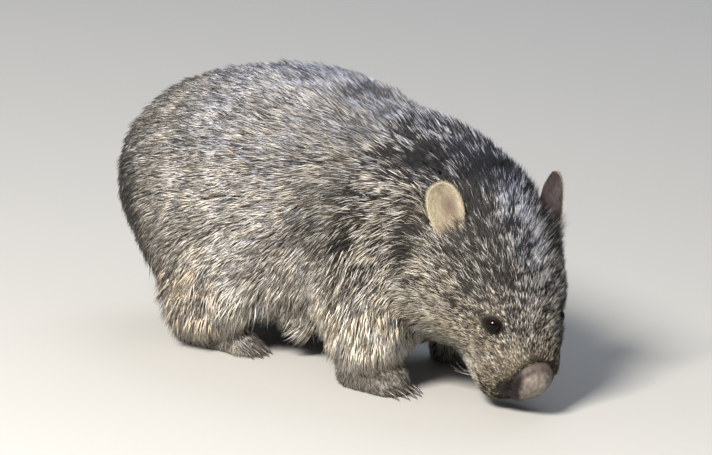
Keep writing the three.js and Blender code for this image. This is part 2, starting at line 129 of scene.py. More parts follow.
def layered(shades: np.ndarray, layers: Iterable[tuple[np.ndarray, Triple]]) -> np.ndarray:
    """Lays further colours over some shades, each by its own share at each point."""
    for amount, colour in layers:
        share = np.clip(amount, 0, 1)[:, None]
        shades = shades * (1 - share) + np.array(colour) * share
    return shades


def sides_of(place: Triple, mirrored: bool = True) -> tuple[float, ...]:
    """The sides that a place is on: both, unless it is in the middle or on one side only."""
    return (1.0, -1.0) if mirrored and place[1] else (1.0,)


def middle_of(node: str) -> Vector:
    """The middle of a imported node's box."""
    low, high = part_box(node)
    return (low + high) / 2


def rows_of(
    parts: bpy.types.bpy_prop_collection, name: str, width: int, kind: type = np.float32
) -> np.ndarray:
    """Reads one property of a mesh's parts, one row each.

    Args:
        parts: The parts.
        name: The property.
        width: How many numbers it has.
        kind: What numbers they are.

    Returns:
        The numbers.
    """
    flat = np.empty(len(parts) * width, kind)
    parts.foreach_get(name, flat)
    return flat.reshape(-1, width)


def points_of(mesh: Mesh) -> np.ndarray:
    """The places of a mesh's vertices, one row each."""
    return rows_of(mesh.vertices, "co", 3)


def normals_of(mesh: Mesh) -> np.ndarray:
    """The normals of a mesh's vertices, one row each."""
    return rows_of(mesh.vertex_normals, "vector", 3)


def edges_of(mesh: Mesh) -> np.ndarray:
    """The two vertices of each edge of a mesh, one row each."""
    return rows_of(mesh.edges, "vertices", 2, np.int32)


def triangles_of(mesh: Mesh) -> np.ndarray:
    """The three vertices of each triangle of a mesh, one row each."""
    mesh.calc_loop_triangles()
    return rows_of(mesh.loop_triangles, "vertices", 3, np.int32)


def set_points(mesh: Mesh, points: np.ndarray) -> None:
    """Moves a mesh's vertices to these places."""
    mesh.vertices.foreach_set("co", points.astype(np.float32).ravel())
    mesh.update()


def relaxed(
    points: np.ndarray, edges: np.ndarray, rounds: int, share: np.ndarray | float = 0.5
) -> np.ndarray:
    """Moves each point towards the mean of its neighbours.

    Args:
        points: Places, one row each.
        edges: Pairs of neighbours.
        rounds: How many times this is done.
        share: How far each point goes, from 0 to 1, for all points or for each.

    Returns:
        The new places.
    """
    count = len(points)
    first, second = edges[:, 0], edges[:, 1]
    degree = np.maximum(np.bincount(edges.ravel(), minlength=count), 1)
    moved = points.astype(np.float64)
    weight = np.broadcast_to(np.asarray(share, float), (count,))[:, None]
    for _ in range(rounds):
        total = np.empty_like(moved)
        for axis in range(3):
            total[:, axis] = np.bincount(first, moved[second, axis], count)
            total[:, axis] += np.bincount(second, moved[first, axis], count)
        moved += (total / degree[:, None] - moved) * weight
    return moved


def mesh_from(name: str, shape: BMesh) -> Mesh:
    """Turns a bmesh into a mesh."""
    mesh = bpy.data.meshes.new(name)
    shape.to_mesh(mesh)
    shape.free()
    return mesh


def add_to(whole: BMesh, part: BMesh) -> None:
    """Adds one bmesh to another and frees it."""
    mesh = mesh_from("part", part)
    whole.from_mesh(mesh)
    bpy.data.meshes.remove(mesh)


@contextmanager
def editing(piece: Object) -> Iterator[BMesh]:
    """Opens a piece's mesh as a bmesh and writes it back at the end.

    Args:
        piece: The piece.

    Returns:
        The bmesh, while it is open.
    """
    shape = bmesh.new()
    shape.from_mesh(piece.data)
    yield shape
    shape.to_mesh(piece.data)
    shape.free()


def new_object(name: str, mesh: Mesh) -> Object:
    """Puts a mesh in the scene as an object at the origin."""
    piece = bpy.data.objects.new(name, mesh)
    bpy.context.scene.collection.objects.link(piece)
    return piece


def object_from(name: str, shape: BMesh) -> Object:
    """Makes a smooth-shaded object from a bmesh, with its faces pointing outwards.

    Args:
        name: The object's name.
        shape: The bmesh, which is freed.

    Returns:
        The object.
    """
    bmesh.ops.recalc_face_normals(shape, faces=shape.faces)
    mesh = mesh_from(name, shape)
    mesh.shade_smooth()
    return new_object(name, mesh)


def add_loop(shape: BMesh, segments: int, place: Callable[[Vector], Vector]) -> list[BMEdge]:
    """Adds a closed loop of edges.

    Args:
        shape: The bmesh that gets it.
        segments: How many edges it has.
        place: Where each point of a circle of radius 1 goes.

    Returns:
        The loop's edges.
    """
    verts = bmesh.ops.create_circle(shape, segments=segments, radius=1.0)["verts"]
    for vert in verts:
        vert.co = place(vert.co)
    loop = set(verts)
    return [edge for edge in shape.edges if loop.issuperset(edge.verts)]


def add_cone(
    shape: BMesh, segments: int, root: float, tip: float, length: float, cuts: int
) -> None:
    """Adds a closed cone along Z, with its middle at the origin and cuts across its sides.

    Args:
        shape: The bmesh that gets it.
        segments: How many sides it has.
        root: Its radius at the lower end.
        tip: Its radius at the upper end.
        length: From end to end.
        cuts: How many cuts it gets.
    """
    bmesh.ops.create_cone(
        shape, cap_ends=True, segments=segments, radius1=root, radius2=tip, depth=length
    )
    ends = ((edge, *edge.verts) for edge in shape.edges)
    sides = [edge for edge, a, b in ends if abs(a.co.z - b.co.z) > length / 2]
    bmesh.ops.subdivide_edges(shape, edges=sides, cuts=cuts)


def add_subdivision(piece: Object) -> None:
    """Rounds a piece with one level of subdivision."""
    modifier = piece.modifiers.new("Subdivision", "SUBSURF")
    modifier.levels = modifier.render_levels = 1


def apply_modifiers(piece: Object) -> None:
    """Makes the result of a piece's modifiers its mesh.

    Args:
        piece: The piece.
    """
    graph = bpy.context.evaluated_depsgraph_get()
    mesh = bpy.data.meshes.new_from_object(piece.evaluated_get(graph))
    old = piece.data
    piece.modifiers.clear()
    piece.data = mesh
    bpy.data.meshes.remove(old)


def remesh(piece: Object, voxel: float) -> None:
    """Remakes a piece as one closed surface of even small faces.

    Args:
        piece: The piece.
        voxel: How small they are.
    """
    modifier = piece.modifiers.new("Remesh", "REMESH")
    modifier.mode = "VOXEL"
    modifier.voxel_size = voxel
    modifier.use_smooth_shade = True
    apply_modifiers(piece)


def keep_largest(piece: Object) -> None:
    """Deletes all but the largest connected part of a piece.

    Args:
        piece: The piece.
    """
    with editing(piece) as shape:
        waiting = set(shape.verts)
        best: set[BMVert] = set()
        while waiting:
            part, front = set(), [waiting.pop()]
            while front:
                vert = front.pop()
                part.add(vert)
                near = {edge.other_vert(vert) for edge in vert.link_edges} & waiting
                waiting -= near
                front.extend(near)
            best = max(best, part, key=len)
        scraps = [vert for vert in shape.verts if vert not in best]
        bmesh.ops.delete(shape, geom=scraps, context="VERTS")


def copy_of(name: str, nodes: tuple[str, ...], swell: float) -> Object:
    """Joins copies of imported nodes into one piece.

    Args:
        name: The piece's name.
        nodes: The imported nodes.
        swell: How far each copy's surface moves out, so that neighbours overlap.

    Returns:
        The piece.
    """
    whole = bmesh.new()
    for node in nodes:
        shape = bmesh.new()
        shape.from_mesh(frame["nodes"][node].data)
        bmesh.ops.remove_doubles(shape, verts=shape.verts, dist=1e-6)
        shape.normal_update()
        for vert in shape.verts:
            vert.co += vert.normal * swell
        add_to(whole, shape)
    return new_object(name, mesh_from(name, whole))


def join_into(piece: Object, other: Object) -> None:
    """Adds another piece's mesh to a piece and removes the other.

    Args:
        piece: The piece.
        other: The other.
    """
    with editing(piece) as shape:
        shape.from_mesh(other.data)
    mesh = other.data
    bpy.data.objects.remove(other)
    bpy.data.meshes.remove(mesh)


@dataclass(frozen=True)
class HeadFrame:
    """The head's own axes: +X ahead, +Y to its left and +Z up from the face.

    They start in the middle of the skull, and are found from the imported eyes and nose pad.
    """

    eyes_ahead: float = 0.1055
    eyes_above: float = 0.0274
    nose_below: float = math.radians(12.8)

    def matrix(self) -> Matrix:
        """The pose of the head in the body.

        Returns:
            The head's own axes and its middle.
        """
        right, left, nose = (middle_of(node) for node in ("eye_right", "eye_left", "nose_pad"))
        between = (right + left) / 2
        sideways = (left - right).normalized()
        ahead = nose - between
        ahead -= sideways * ahead.dot(sideways)
        ahead = Matrix.Rotation(-self.nose_below, 3, sideways) @ ahead.normalized()
        up = ahead.cross(sideways)
        origin = between - ahead * self.eyes_ahead - up * self.eyes_above
        turn = Matrix((ahead, sideways, up)).transposed().to_4x4()
        return Matrix.Translation(origin) @ turn


head_pose = HeadFrame().matrix()


def head_point(place: Triple) -> Vector:
    """A place in the head, given along its own axes."""
    return head_pose @ Vector(place)


def head_direction(direction: Triple) -> Vector:
    """A direction in the head, given along its own axes."""
    return (head_pose.to_3x3() @ Vector(direction)).normalized()


def seen_from(pose: Matrix, points: np.ndarray) -> np.ndarray:
    """Points of the body as seen from a pose's own axes."""
    inward = np.array(pose.inverted())
    return points @ inward[:3, :3].T + inward[:3, 3]


def in_head(points: np.ndarray) -> np.ndarray:
    """Points of the body as seen from the head's own axes."""
    return seen_from(head_pose, points)


# The coat's plan: what the hair is like round a number of named places.


@dataclass(frozen=True)
class Pelage:
    """One kind of hair. Lengths are in millimetres and angles in degrees.

    Args:
        length: From root to tip of a tuft.
        width: Across its root.
        spacing: From one root to the next.
        lift: Between the tuft and the skin.
        depth: From the coat's outline in to the skin.
        bend: How much the tuft's outer half turns back to the skin.
        clump: From one clump of tufts to the next.
    """

    length: float
    width: float
    spacing: float
    lift: float
    depth: float
    bend: float = 24.0
    clump: float = 6.0


BACK = Pelage(25, 1.2, 2.25, 38, 12.5)
FLANK = Pelage(25, 1.2, 2.25, 36, 12)
RUMP = Pelage(24, 1.2, 2.25, 36, 11)
NAPE = Pelage(22, 1.15, 2.15, 44, 12.5, 16)
LONG = Pelage(40, 1.8, 2.6, 30, 11, 20, 8)
BELLY = Pelage(48, 1.8, 2.5, 24, 10, 16, 8)
FRINGE = Pelage(54, 1.8, 2.3, 18, 9, 10, 8)
NECK = Pelage(23, 1.15, 2.15, 38, 12)
THICK = Pelage(19, 0.95, 1.25, 44, 8, 0)
CROWN = Pelage(14, 0.9, 1.15, 38, 7, 0)
SIDES_OF_CROWN = Pelage(19, 0.9, 1.2, 54, 7, 0)
RUFF = Pelage(24, 0.95, 1.25, 56, 7.5, 0)
BROW = Pelage(14, 0.85, 1.1, 46, 4.5, 0)
FOREHEAD = Pelage(12, 0.9, 1.15, 30, 5.5, 0)
CHEEK = Pelage(15, 0.9, 1.15, 38, 8, 0)
FACE = Pelage(9, 0.8, 1.0, 26, 4, 0, 5)
MUZZLE = Pelage(5.5, 0.65, 0.9, 24, 2.4, 0, 4)
FOOT = Pelage(9, 1.0, 1.4, 24, 2.6, 0, 5)


@dataclass(frozen=True)
class CoatPlace:
    """The hair's kind, lie and tone round one place.

    Args:
        place: Where, in metres.
        lie: The way the hair points there.
        pelage: Its kind.
        tone: How light the coat is there.
        warmth: From -1, bluish grey, to 1, brown.
        headward: Whether place and lie are given along the head's own axes.
        mirrored: Whether the other side has it too.
    """

    place: Triple
    lie: Triple
    pelage: Pelage
    tone: float = 1.0
    warmth: float = 0.0
    headward: bool = False
    mirrored: bool = True


def face(place: Triple, lie: Triple, pelage: Pelage, tone: float, warmth: float) -> CoatPlace:
    """A place of the coat on the head."""
    return CoatPlace(place, lie, pelage, tone, warmth, True)


COAT_PLACES = (
    # Rump and back. The rump's rear is dark: painted shade.
    CoatPlace((-0.30, 0, 0.19), (-0.15, 0, -1), RUMP, 0.2),
    CoatPlace((-0.30, 0, 0.12), (-0.05, 0, -1), RUMP, 0.2, 0.1),
    CoatPlace((-0.24, 0, 0.28), (-0.9, 0, -0.45), RUMP, 0.5),
    CoatPlace((-0.25, 0.09, 0.17), (-0.6, 0, -0.75), RUMP, 0.3),
    CoatPlace((-0.21, 0.11, 0.22), (-0.9, 0, -0.35), FLANK, 0.85),
    CoatPlace((-0.15, 0, 0.32), (-1, 0, -0.1), BACK, 0.9, -0.4),
    CoatPlace((-0.04, 0, 0.33), (-1, 0, 0), BACK, 0.85, -0.45),
    CoatPlace((0.05, 0, 0.31), (-1, 0, 0), BACK, 0.65, -0.35),
    CoatPlace((-0.12, 0.12, 0.27), (-1, 0, -0.18), BACK, 0.98, -0.25),
    CoatPlace((0.0, 0.12, 0.27), (-1, 0, -0.15), BACK, 0.85, -0.15),
    # Flanks and belly.
    CoatPlace((-0.12, 0.15, 0.19), (-0.97, 0, -0.3), FLANK, 1.2),
    CoatPlace((-0.02, 0.15, 0.18), (-0.95, 0, -0.35), FLANK, 1.15),
    # Lower flank and belly fringe: their own pale long hair, made lighter still as painted light
    # under the body.
    CoatPlace((-0.05, 0.14, 0.12), (-0.8, 0, -0.6), FLANK, 1.5, 0.05),
    CoatPlace((-0.03, 0.11, 0.07), (-0.4, 0, -1), FRINGE, 1.9, 0.05),
    CoatPlace((-0.03, 0, 0.05), (-1, 0, -0.25), BELLY, 0.9, 0.15),
    CoatPlace((-0.2, 0, 0.05), (-0.8, 0, -0.6), BELLY, 0.5, 0.15),
    # Hind legs.
    CoatPlace((-0.15, 0.15, 0.13), (-0.7, 0, -0.7), FLANK, 1.0, 0.15),
    CoatPlace((-0.13, 0.14, 0.08), (-0.25, 0, -1), LONG, 1.15, 0.4),
    CoatPlace((-0.17, 0.1, 0.06), (-0.4, 0, -1), LONG, 0.5, 0.1),
    CoatPlace((-0.09, 0.1, 0.05), (0.15, 0, -1), LONG, 1.2, 0.35),
    CoatPlace((-0.13, 0.05, 0.06), (-0.2, 0, -1), BELLY, 0.85, 0.2),
    # Shoulders and forelegs.
    CoatPlace((0.05, 0.14, 0.23), (-0.85, 0, -0.5), FLANK, 0.6, 0.05),
    CoatPlace((0.05, 0.15, 0.17), (-0.6, 0, -0.8), FLANK, 0.6, 0.1),
    CoatPlace((0.03, 0.14, 0.12), (-0.5, 0, -0.9), FLANK, 1.5, 0.05),
    CoatPlace((0.10, 0.14, 0.15), (-0.2, 0, -1), LONG, 0.7, 0.1),
    # Lower forelegs: their own pale long hair, made lighter still as painted light under the body.
    CoatPlace((0.08, 0.14, 0.09), (-0.12, 0, -1), LONG, 2.0, 0.35),
    CoatPlace((0.12, 0.11, 0.08), (0.1, 0, -1), LONG, 1.9, 0.35),
    CoatPlace((0.10, 0.05, 0.07), (-0.1, 0, -1), BELLY, 0.9, 0.2),
    CoatPlace((0.13, 0.0, 0.08), (-0.7, 0, -0.7), BELLY, 0.8, 0.2),
    # Neck and nape.
    CoatPlace((0.14, 0.12, 0.22), (-0.9, 0.1, -0.45), NECK, 0.5, 0.1),
    CoatPlace((0.14, 0.13, 0.16), (-0.6, 0.1, -0.8), NECK, 0.75, 0.1),
    CoatPlace((0.12, 0, 0.30), (-1, 0, 0.15), NAPE, 0.36, -0.55),
    CoatPlace((0.17, 0.0, 0.27), (-0.9, 0, 0.4), NAPE, 0.32, -0.55),
    CoatPlace((0.15, 0.07, 0.27), (-0.95, 0.1, 0.05), NAPE, 0.35, -0.2),
    # Feet.
    CoatPlace((-0.1, 0.09, 0.03), (0.8, 0, -0.5), FOOT, 1.1, 0.3),
    CoatPlace((-0.15, 0.09, 0.03), (0.1, 0, -1), FOOT, 0.8, 0.3),
    CoatPlace((0.13, 0.09, 0.03), (0.8, 0, -0.5), FOOT, 1.2, 0.3),
    CoatPlace((0.10, 0.09, 0.03), (0.1, 0, -1), FOOT, 1.0, 0.3),
    # Crown and forehead.
    face((-0.045, 0, 0.055), (-1, 0, -0.5), THICK, 0.16, -0.4),
    face((-0.01, 0, 0.066), (-1, 0, -0.12), CROWN, 0.3, -0.5),
    face((-0.01, 0.035, 0.06), (-1, 0.1, -0.12), SIDES_OF_CROWN, 0.2, -0.2),
    face((0.04, 0, 0.066), (-1, 0, 0.02), FOREHEAD, 0.32, -0.45),
    face((0.04, 0.038, 0.056), (-1, 0.12, 0), SIDES_OF_CROWN, 0.2, 0.0),
    face((0.08, 0, 0.06), (-1, 0, 0.08), FOREHEAD, 0.32, -0.1),
    face((0.075, 0.036, 0.05), (-1, 0.14, 0), BROW, 0.3, 0.15),
    face((0.09, 0.047, 0.043), (-1, 0.14, 0), FACE, 0.45, 0.2),
    face((0.115, 0.027, 0.043), (-1, 0.1, 0.1), BROW, 0.45, 0.2),
    face((0.125, 0, 0.045), (-1, 0, 0.2), FACE, 0.5, 0.2),
    face((0.02, 0.06, 0.045), (-1, 0.15, -0.1), RUFF, 0.3, 0.1),
    # Only on the head's left side, darker: painted shade on the side turned away from the light.
    CoatPlace((0.088, 0.036, 0.05), (-1, 0.1, 0), SIDES_OF_CROWN, 0.2, -0.2, True, False),
    CoatPlace((0.125, 0.042, 0.02), (-1, 0.15, 0), BROW, 0.35, 0.0, True, False),
    # Muzzle.
    face((0.155, 0, 0.03), (-1, 0, 0.5), MUZZLE, 0.45, 0.75),
    face((0.155, 0.03, 0.01), (-1, 0.2, 0.1), MUZZLE, 0.45, 0.75),
    face((0.17, 0.025, -0.02), (-0.9, 0.3, -0.1), MUZZLE, 0.4, 0.8),
    face((0.12, 0.045, 0.005), (-0.95, 0.15, -0.12), FACE, 0.55, 0.7),
    face((0.1, 0.055, -0.01), (-0.95, 0.1, -0.2), FACE, 0.55, 0.65),
    face((0.14, 0.03, -0.045), (-0.95, 0.15, -0.3), MUZZLE, 1.0, 0.4),
    face((0.16, 0, -0.045), (-1, 0, -0.5), MUZZLE, 0.9, 0.4),
    # Cheeks and chin.
    face((0.05, 0.066, 0.01), (-1, 0.1, -0.15), CHEEK, 0.4, 0.4),
    face((0.05, 0.068, -0.03), (-0.95, 0.1, -0.35), CHEEK, 0.6, 0.5),
    face((0.0, 0.072, -0.01), (-0.95, 0.1, -0.4), THICK, 0.48, 0.4),
    face((-0.01, 0.065, 0.03), (-1, 0.15, -0.15), THICK, 0.35, 0.2),
    face((0.02, 0.07, -0.06), (-0.85, 0.05, -0.55), THICK, 1.3, 0.5),
    # The jowl is lighter: painted light under the jaw, where the head's own shade falls.
    face((0.08, 0.05, -0.06), (-0.95, 0.05, -0.35), CHEEK, 1.9, 0.5),
    face((0.12, 0, -0.06), (-1, 0, -0.15), CHEEK, 1.3, 0.3),
)


@dataclass
class CoatPlan:
    """Blends the coat's named places into smooth fields over the body."""

    nearness: float = 2.4
    softness: float = 0.018
    batch: int = 20000
    places: np.ndarray = field(init=False)
    lies: np.ndarray = field(init=False)
    values: np.ndarray = field(init=False)

    def __post_init__(self) -> None:
        """Lists the places of both sides in the body's axes."""
        places, lies, values = [], [], []
        for spot in COAT_PLACES:
            for side in sides_of(spot.place, spot.mirrored):
                mirror = Vector((1, side, 1))
                place, lie = Vector(spot.place) * mirror, Vector(spot.lie) * mirror
                if spot.headward:
                    place, lie = head_point(place), head_direction(lie)
                places.append(place)
                lies.append(lie.normalized())
                hair = spot.pelage
                sizes = (hair.length, hair.width, hair.spacing, hair.depth, hair.clump)
                others = (hair.lift, hair.bend, spot.tone, spot.warmth)
                values.append([size * MM for size in sizes] + [*others])
        self.places = np.array(places)
        self.lies = np.array(lies)
        self.values = np.array(values)

    def at(self, points: np.ndarray) -> tuple[np.ndarray, dict[str, np.ndarray]]:
        """The hair's lie and the other values at some points.

        Args:
            points: Places on the body, one row each.

        Returns:
            The lie at each point, and a table of the values by name.
        """
        lies = np.empty((len(points), 3))
        values = np.empty((len(points), self.values.shape[1]))
        for start in range(0, len(points), self.batch):
            some = slice(start, start + self.batch)
            apart = np.linalg.norm(points[some, None, :] - self.places[None, :, :], axis=2)
            weights = 1.0 / (apart**2 + self.softness**2) ** self.nearness
            weights /= weights.sum(axis=1, keepdims=True)
            lies[some] = weights @ self.lies
            values[some] = weights @ self.values
        names = "length width spacing depth clump lift bend tone warmth".split()
        return unit(lies), dict(zip(names, values.T))


# Markings: one function colours the skin and the coat alike.


@dataclass(frozen=True)
class Mark:
    """A soft patch of another tone.

    Args:
        place: Its middle, in metres.
        radii: How far it reaches along each axis.
        tone: What the coat's tone is multiplied by at its middle.
        warmth: What is added to the coat's warmth there.
        headward: Whether it is given along the head's own axes.
        mirrored: Whether the other side has it too.
    """

    place: Triple
    radii: Triple
    tone: float
    warmth: float = 0.0
    headward: bool = True
    mirrored: bool = True


MARKS = (
    # Round the eye: pale brow and patch behind it, dark crease at the outer corner, dark streaks.
    Mark((0.095, 0.048, 0.043), (0.012, 0.012, 0.009), 1.5, 0.25),
    Mark((0.107, 0.056, 0.018), (0.010, 0.010, 0.007), 1.35, 0.25),
    Mark((0.094, 0.058, 0.029), (0.009, 0.010, 0.0028), 0.3, 0.2),
    Mark((0.1085, 0.0445, 0.031), (0.0160, 0.0130, 0.0125), 0.35, 0.3),
    Mark((0.124, 0.051, 0.009), (0.005, 0.014, 0.011), 0.42, -0.1),
    Mark((0.134, 0.046, 0.015), (0.004, 0.014, 0.011), 0.5, -0.1),
    Mark((0.092, 0.072, -0.034), (0.0045, 0.012, 0.0045), 0.35, 0.5),
    # Forehead: a pale bluish stripe near the middle, a little to its left, which is a painted
    # reflection of the sky, and dark beside it.
    Mark((-0.015, 0.010, 0.07), (0.035, 0.022, 0.03), 2.2, -0.3, mirrored=False),
    Mark((0.045, 0.024, 0.06), (0.04, 0.018, 0.03), 2.2, -0.35, mirrored=False),
    Mark((-0.025, 0.046, 0.062), (0.024, 0.014, 0.02), 0.25, 0.05),
    Mark((0.02, 0.056, 0.05), (0.04, 0.015, 0.02), 0.6, 0.1),
    Mark((0.062, 0.036, 0.056), (0.02, 0.016, 0.012), 0.6, 0.1),
    # Round the nose: dark reddish hair above it, and dark skin by the nostrils and lips.
    Mark((0.159, 0.0, 0.032), (0.007, 0.018, 0.006), 0.35, 0.7),
    Mark((0.164, 0.021, 0.024), (0.006, 0.009, 0.007), 0.25, 0.8),
    Mark((0.170, 0.031, 0.012), (0.006, 0.008, 0.009), 0.3, 0.8),
    Mark((0.176, 0.030, -0.006), (0.012, 0.012, 0.011), 0.12, 0.6),
    Mark((0.180, 0.018, -0.022), (0.012, 0.02, 0.009), 0.15, 0.6),
    # Along the line of the mouth.
    Mark((0.167, 0.020, -0.026), (0.012, 0.014, 0.0035), 0.4, 0.3),
    Mark((0.147, 0.036, -0.028), (0.012, 0.014, 0.0035), 0.45, 0.3),
    Mark((0.127, 0.046, -0.031), (0.012, 0.014, 0.0035), 0.55, 0.3),
    # Behind the ear and along the neck.
    Mark((0.160, 0.098, 0.228), (0.013, 0.016, 0.018), 1.5, 0.6, False),
    Mark((-0.035, 0.085, 0.05), (0.03, 0.02, 0.02), 0.7, 0.3),
    Mark((0.160, 0.110, 0.185), (0.02, 0.03, 0.045), 0.4, 0.1, False),
    Mark((0.165, 0.055, 0.262), (0.055, 0.045, 0.022), 0.36, -0.2, False),
    Mark((0.215, 0.0, 0.258), (0.04, 0.035, 0.025), 0.5, -0.5, False),
    Mark((0.09, 0.0, 0.315), (0.08, 0.035, 0.025), 0.5, -0.5, False),
    # Along the top of the back: darker and bluish, painted shade.
    Mark((-0.08, 0.0, 0.335), (0.19, 0.034, 0.03), 0.6, -0.4, False),
    # The rump's rear edge and the lower rear of the thighs: painted shade.
    Mark((-0.30, 0.0, 0.16), (0.062, 0.15, 0.13), 0.35, 0.0, False),
    Mark((-0.215, 0.125, 0.10), (0.05, 0.06, 0.06), 0.3, 0.05, False),
    # A dark shoulder.
    Mark((0.085, 0.14, 0.19), (0.035, 0.04, 0.045), 0.55, 0.05, False),
)


@dataclass
class Markings:
    """The coat's colours, from its plan's values and its marks."""

    grey: Triple = (0.43, 0.405, 0.375)
    brown: Triple = (0.47, 0.375, 0.255)
    blue: Triple = (0.32, 0.35, 0.47)
    # The sizes of the soft patches, and how much each kind changes the tone.
    patches: tuple[tuple[float, float], ...] = ((0.034, 0.42), (0.011, 0.42))
    darkest: float = 0.02
    lightest: float = 2.0

    def patchiness(self, points: np.ndarray) -> np.ndarray:
        """How much lighter or darker the coat is by soft patches of two sizes.

        Args:
            points: Places on the body, one row each.

        Returns:
            What the tone of each is multiplied by.
        """
        total = np.ones(len(points))
        for size, share in self.patches:
            total += share * np.array([noise.noise(Vector(point) / size) for point in points])
        return total

    def at(
        self, points: np.ndarray, tone: np.ndarray, warmth: np.ndarray
    ) -> tuple[np.ndarray, np.ndarray]:
        """The coat's tone and hue at some points.

        Args:
            points: Places on the body, one row each.
            tone: The plan's tone at each.
            warmth: The plan's warmth at each.

        Returns:
            The tone of each, and its hue as linear red, green and blue.
        """
        tone, warmth = tone * self.patchiness(points), warmth.copy()
        local = in_head(points)
        for mark in MARKS:
            where = local if mark.headward else points
            for side in sides_of(mark.place, mark.mirrored):
                middle = np.array(mark.place) * (1, side, 1)
                near = np.exp(-((((where - middle) / mark.radii) ** 2).sum(axis=1)))
                tone *= 1 + (mark.tone - 1) * near
                warmth += mark.warmth * near
        warm, cold = np.clip(warmth, 0, 1)[:, None], np.clip(-warmth, 0, 1)[:, None]
        grey = np.array(self.grey) * (1 - warm - cold)
        hue = grey + np.array(self.brown) * warm + np.array(self.blue) * cold
        return np.clip(tone, self.darkest, self.lightest), hue


# Finishes.


def material_of(name: str) -> tuple[Material, NodeTree, Node]:
    """A new material with its node tree and its Principled BSDF."""
    material = bpy.data.materials.new(name)
    material.use_nodes = True
    return material, material.node_tree, material.node_tree.nodes["Principled BSDF"]


def set_sockets(node: Node, **values: float | tuple[float, ...]) -> None:
    """Sets a node's input sockets, named with _ for each space."""
    for name, value in values.items():
        node.inputs[name.replace("_", " ")].default_value = value


def mottle_group() -> NodeTree:
    """A shader group that breaks a colour up with noise and gives a height for bump.

    Returns:
        The group.
    """
    group = bpy.data.node_groups.new("Mottle", "ShaderNodeTree")
    for name, way, kind, value in (
        ("Colour", "INPUT", "NodeSocketColor", (0.5, 0.5, 0.5, 1)),
        ("Scale", "INPUT", "NodeSocketFloat", 200.0),
        ("Contrast", "INPUT", "NodeSocketFloat", 0.3),
        ("Colour", "OUTPUT", "NodeSocketColor", (0, 0, 0, 1)),
        ("Height", "OUTPUT", "NodeSocketFloat", 0.0),
    ):
        socket = group.interface.new_socket(name, in_out=way, socket_type=kind)
        socket.default_value = value
    nodes = group.nodes
    entry, leave = nodes.new("NodeGroupInput"), nodes.new("NodeGroupOutput")
    place, fine = nodes.new("ShaderNodeTexCoord"), nodes.new("ShaderNodeTexNoise")
    centred, scaled = nodes.new("ShaderNodeMath"), nodes.new("ShaderNodeMath")
    tinted = nodes.new("ShaderNodeVectorMath")
    set_sockets(fine, Detail=4.0, Roughness=0.6)
    centred.operation, scaled.operation = "SUBTRACT", "MULTIPLY_ADD"
    tinted.operation = "SCALE"
    centred.inputs[1].default_value = 0.5
    scaled.inputs[2].default_value = 1.0
    for source, target in (
        (place.outputs["Object"], fine.inputs["Vector"]),
        (entry.outputs["Scale"], fine.inputs["Scale"]),
        (fine.outputs["Fac"], centred.inputs[0]),
        (centred.outputs[0], scaled.inputs[0]),
        (entry.outputs["Contrast"], scaled.inputs[1]),
        (entry.outputs["Colour"], tinted.inputs[0]),
        (scaled.outputs[0], tinted.inputs["Scale"]),
        (tinted.outputs[0], leave.inputs["Colour"]),
        (fine.outputs["Fac"], leave.inputs["Height"]),
    ):
        group.links.new(source, target)
    return group


mottle = mottle_group()


@dataclass(frozen=True)
class Finish:
    """A mottled surface whose colour is its own or comes from the coat's markings.

    Args:
        name: The material's name.
        colour: Linear red, green and blue, or None for the mesh's own colours.
        roughness: Of the surface.
        scale: Of the mottle, per metre.
        contrast: Of the mottle's colour.
        bump: The mottle's height, in millimetres.
        specular: The strength of its plain reflection.
        sheen: The strength of its velvety edge.
        film: The strength of a wet film.
        film_roughness: Of that film.
        glow: How much light passes through.
        glow_depth: How far it goes, in metres.
    """

    name: str
    colour: Triple | None = None
    roughness: float = 0.6
    scale: float = 300.0
    contrast: float = 0.3
    bump: float = 0.0
    specular: float = 0.5
    sheen: float = 0.0
    film: float = 0.0
    film_roughness: float = 0.06
    glow: float = 0.0
    glow_depth: float = 0.002

    def material(self) -> Material:
        """Builds the material.

        Returns:
            The material.
        """
        material, tree, shader = material_of(self.name)
        mixed = tree.nodes.new("ShaderNodeGroup")
        mixed.node_tree = mottle
        set_sockets(mixed, Scale=self.scale, Contrast=self.contrast)
        if self.colour is None:
            painted = tree.nodes.new("ShaderNodeAttribute")
            painted.attribute_name = COLOUR_LAYER
            tree.links.new(painted.outputs["Color"], mixed.inputs["Colour"])
        else:
            set_sockets(mixed, Colour=(*self.colour, 1))
        tree.links.new(mixed.outputs["Colour"], shader.inputs["Base Color"])
        set_sockets(shader, Roughness=self.roughness, Specular_IOR_Level=self.specular)
        set_sockets(shader, Coat_Weight=self.film, Coat_Roughness=self.film_roughness)
        set_sockets(shader, Subsurface_Weight=self.glow, Subsurface_Scale=self.glow_depth)
        set_sockets(shader, Sheen_Weight=self.sheen)
        if self.bump:
            bump = tree.nodes.new("ShaderNodeBump")
            set_sockets(bump, Distance=self.bump * MM, Strength=1.0)
            tree.links.new(mixed.outputs["Height"], bump.inputs["Height"])
            tree.links.new(bump.outputs["Normal"], shader.inputs["Normal"])
        return material


COLOUR_LAYER = "coat_colour"
COAT_FINISH = Finish("Coat", None, 0.5, 260, 0.5, specular=0.24)
SKIN_FINISH = Finish("Underfur", None, 0.8, 420, 0.9, bump=0.6, specular=0.2)
EAR_FINISH = Finish("Ear_skin", None, 0.6, 900, 0.25, bump=0.08, sheen=0.25, glow=0.15)
NOSE_FINISH = Finish("Nose_leather", None, 0.55, 1100, 0.55, bump=0.4, specular=0.3)
EYE_FINISH = Finish("Eye_wet", None, 0.12, 900, 0.6, specular=0.1, film=0.17, film_roughness=0.03)
LID_FINISH = Finish("Eyelid", (0.010, 0.006, 0.005), 0.55, 1300, 0.6, bump=0.08, specular=0.2)
CLAW_FINISH = Finish("Claw_horn", (0.075, 0.058, 0.045), 0.35, 500, 0.8, bump=0.05, film=0.2)
WHISKER_FINISH = Finish("Whisker", (0.6, 0.56, 0.48), 0.4, 200, 0.3)
FLOOR_FINISH = Finish("Floor", (0.5, 0.49, 0.465), 0.85, 3.0, 0.04)


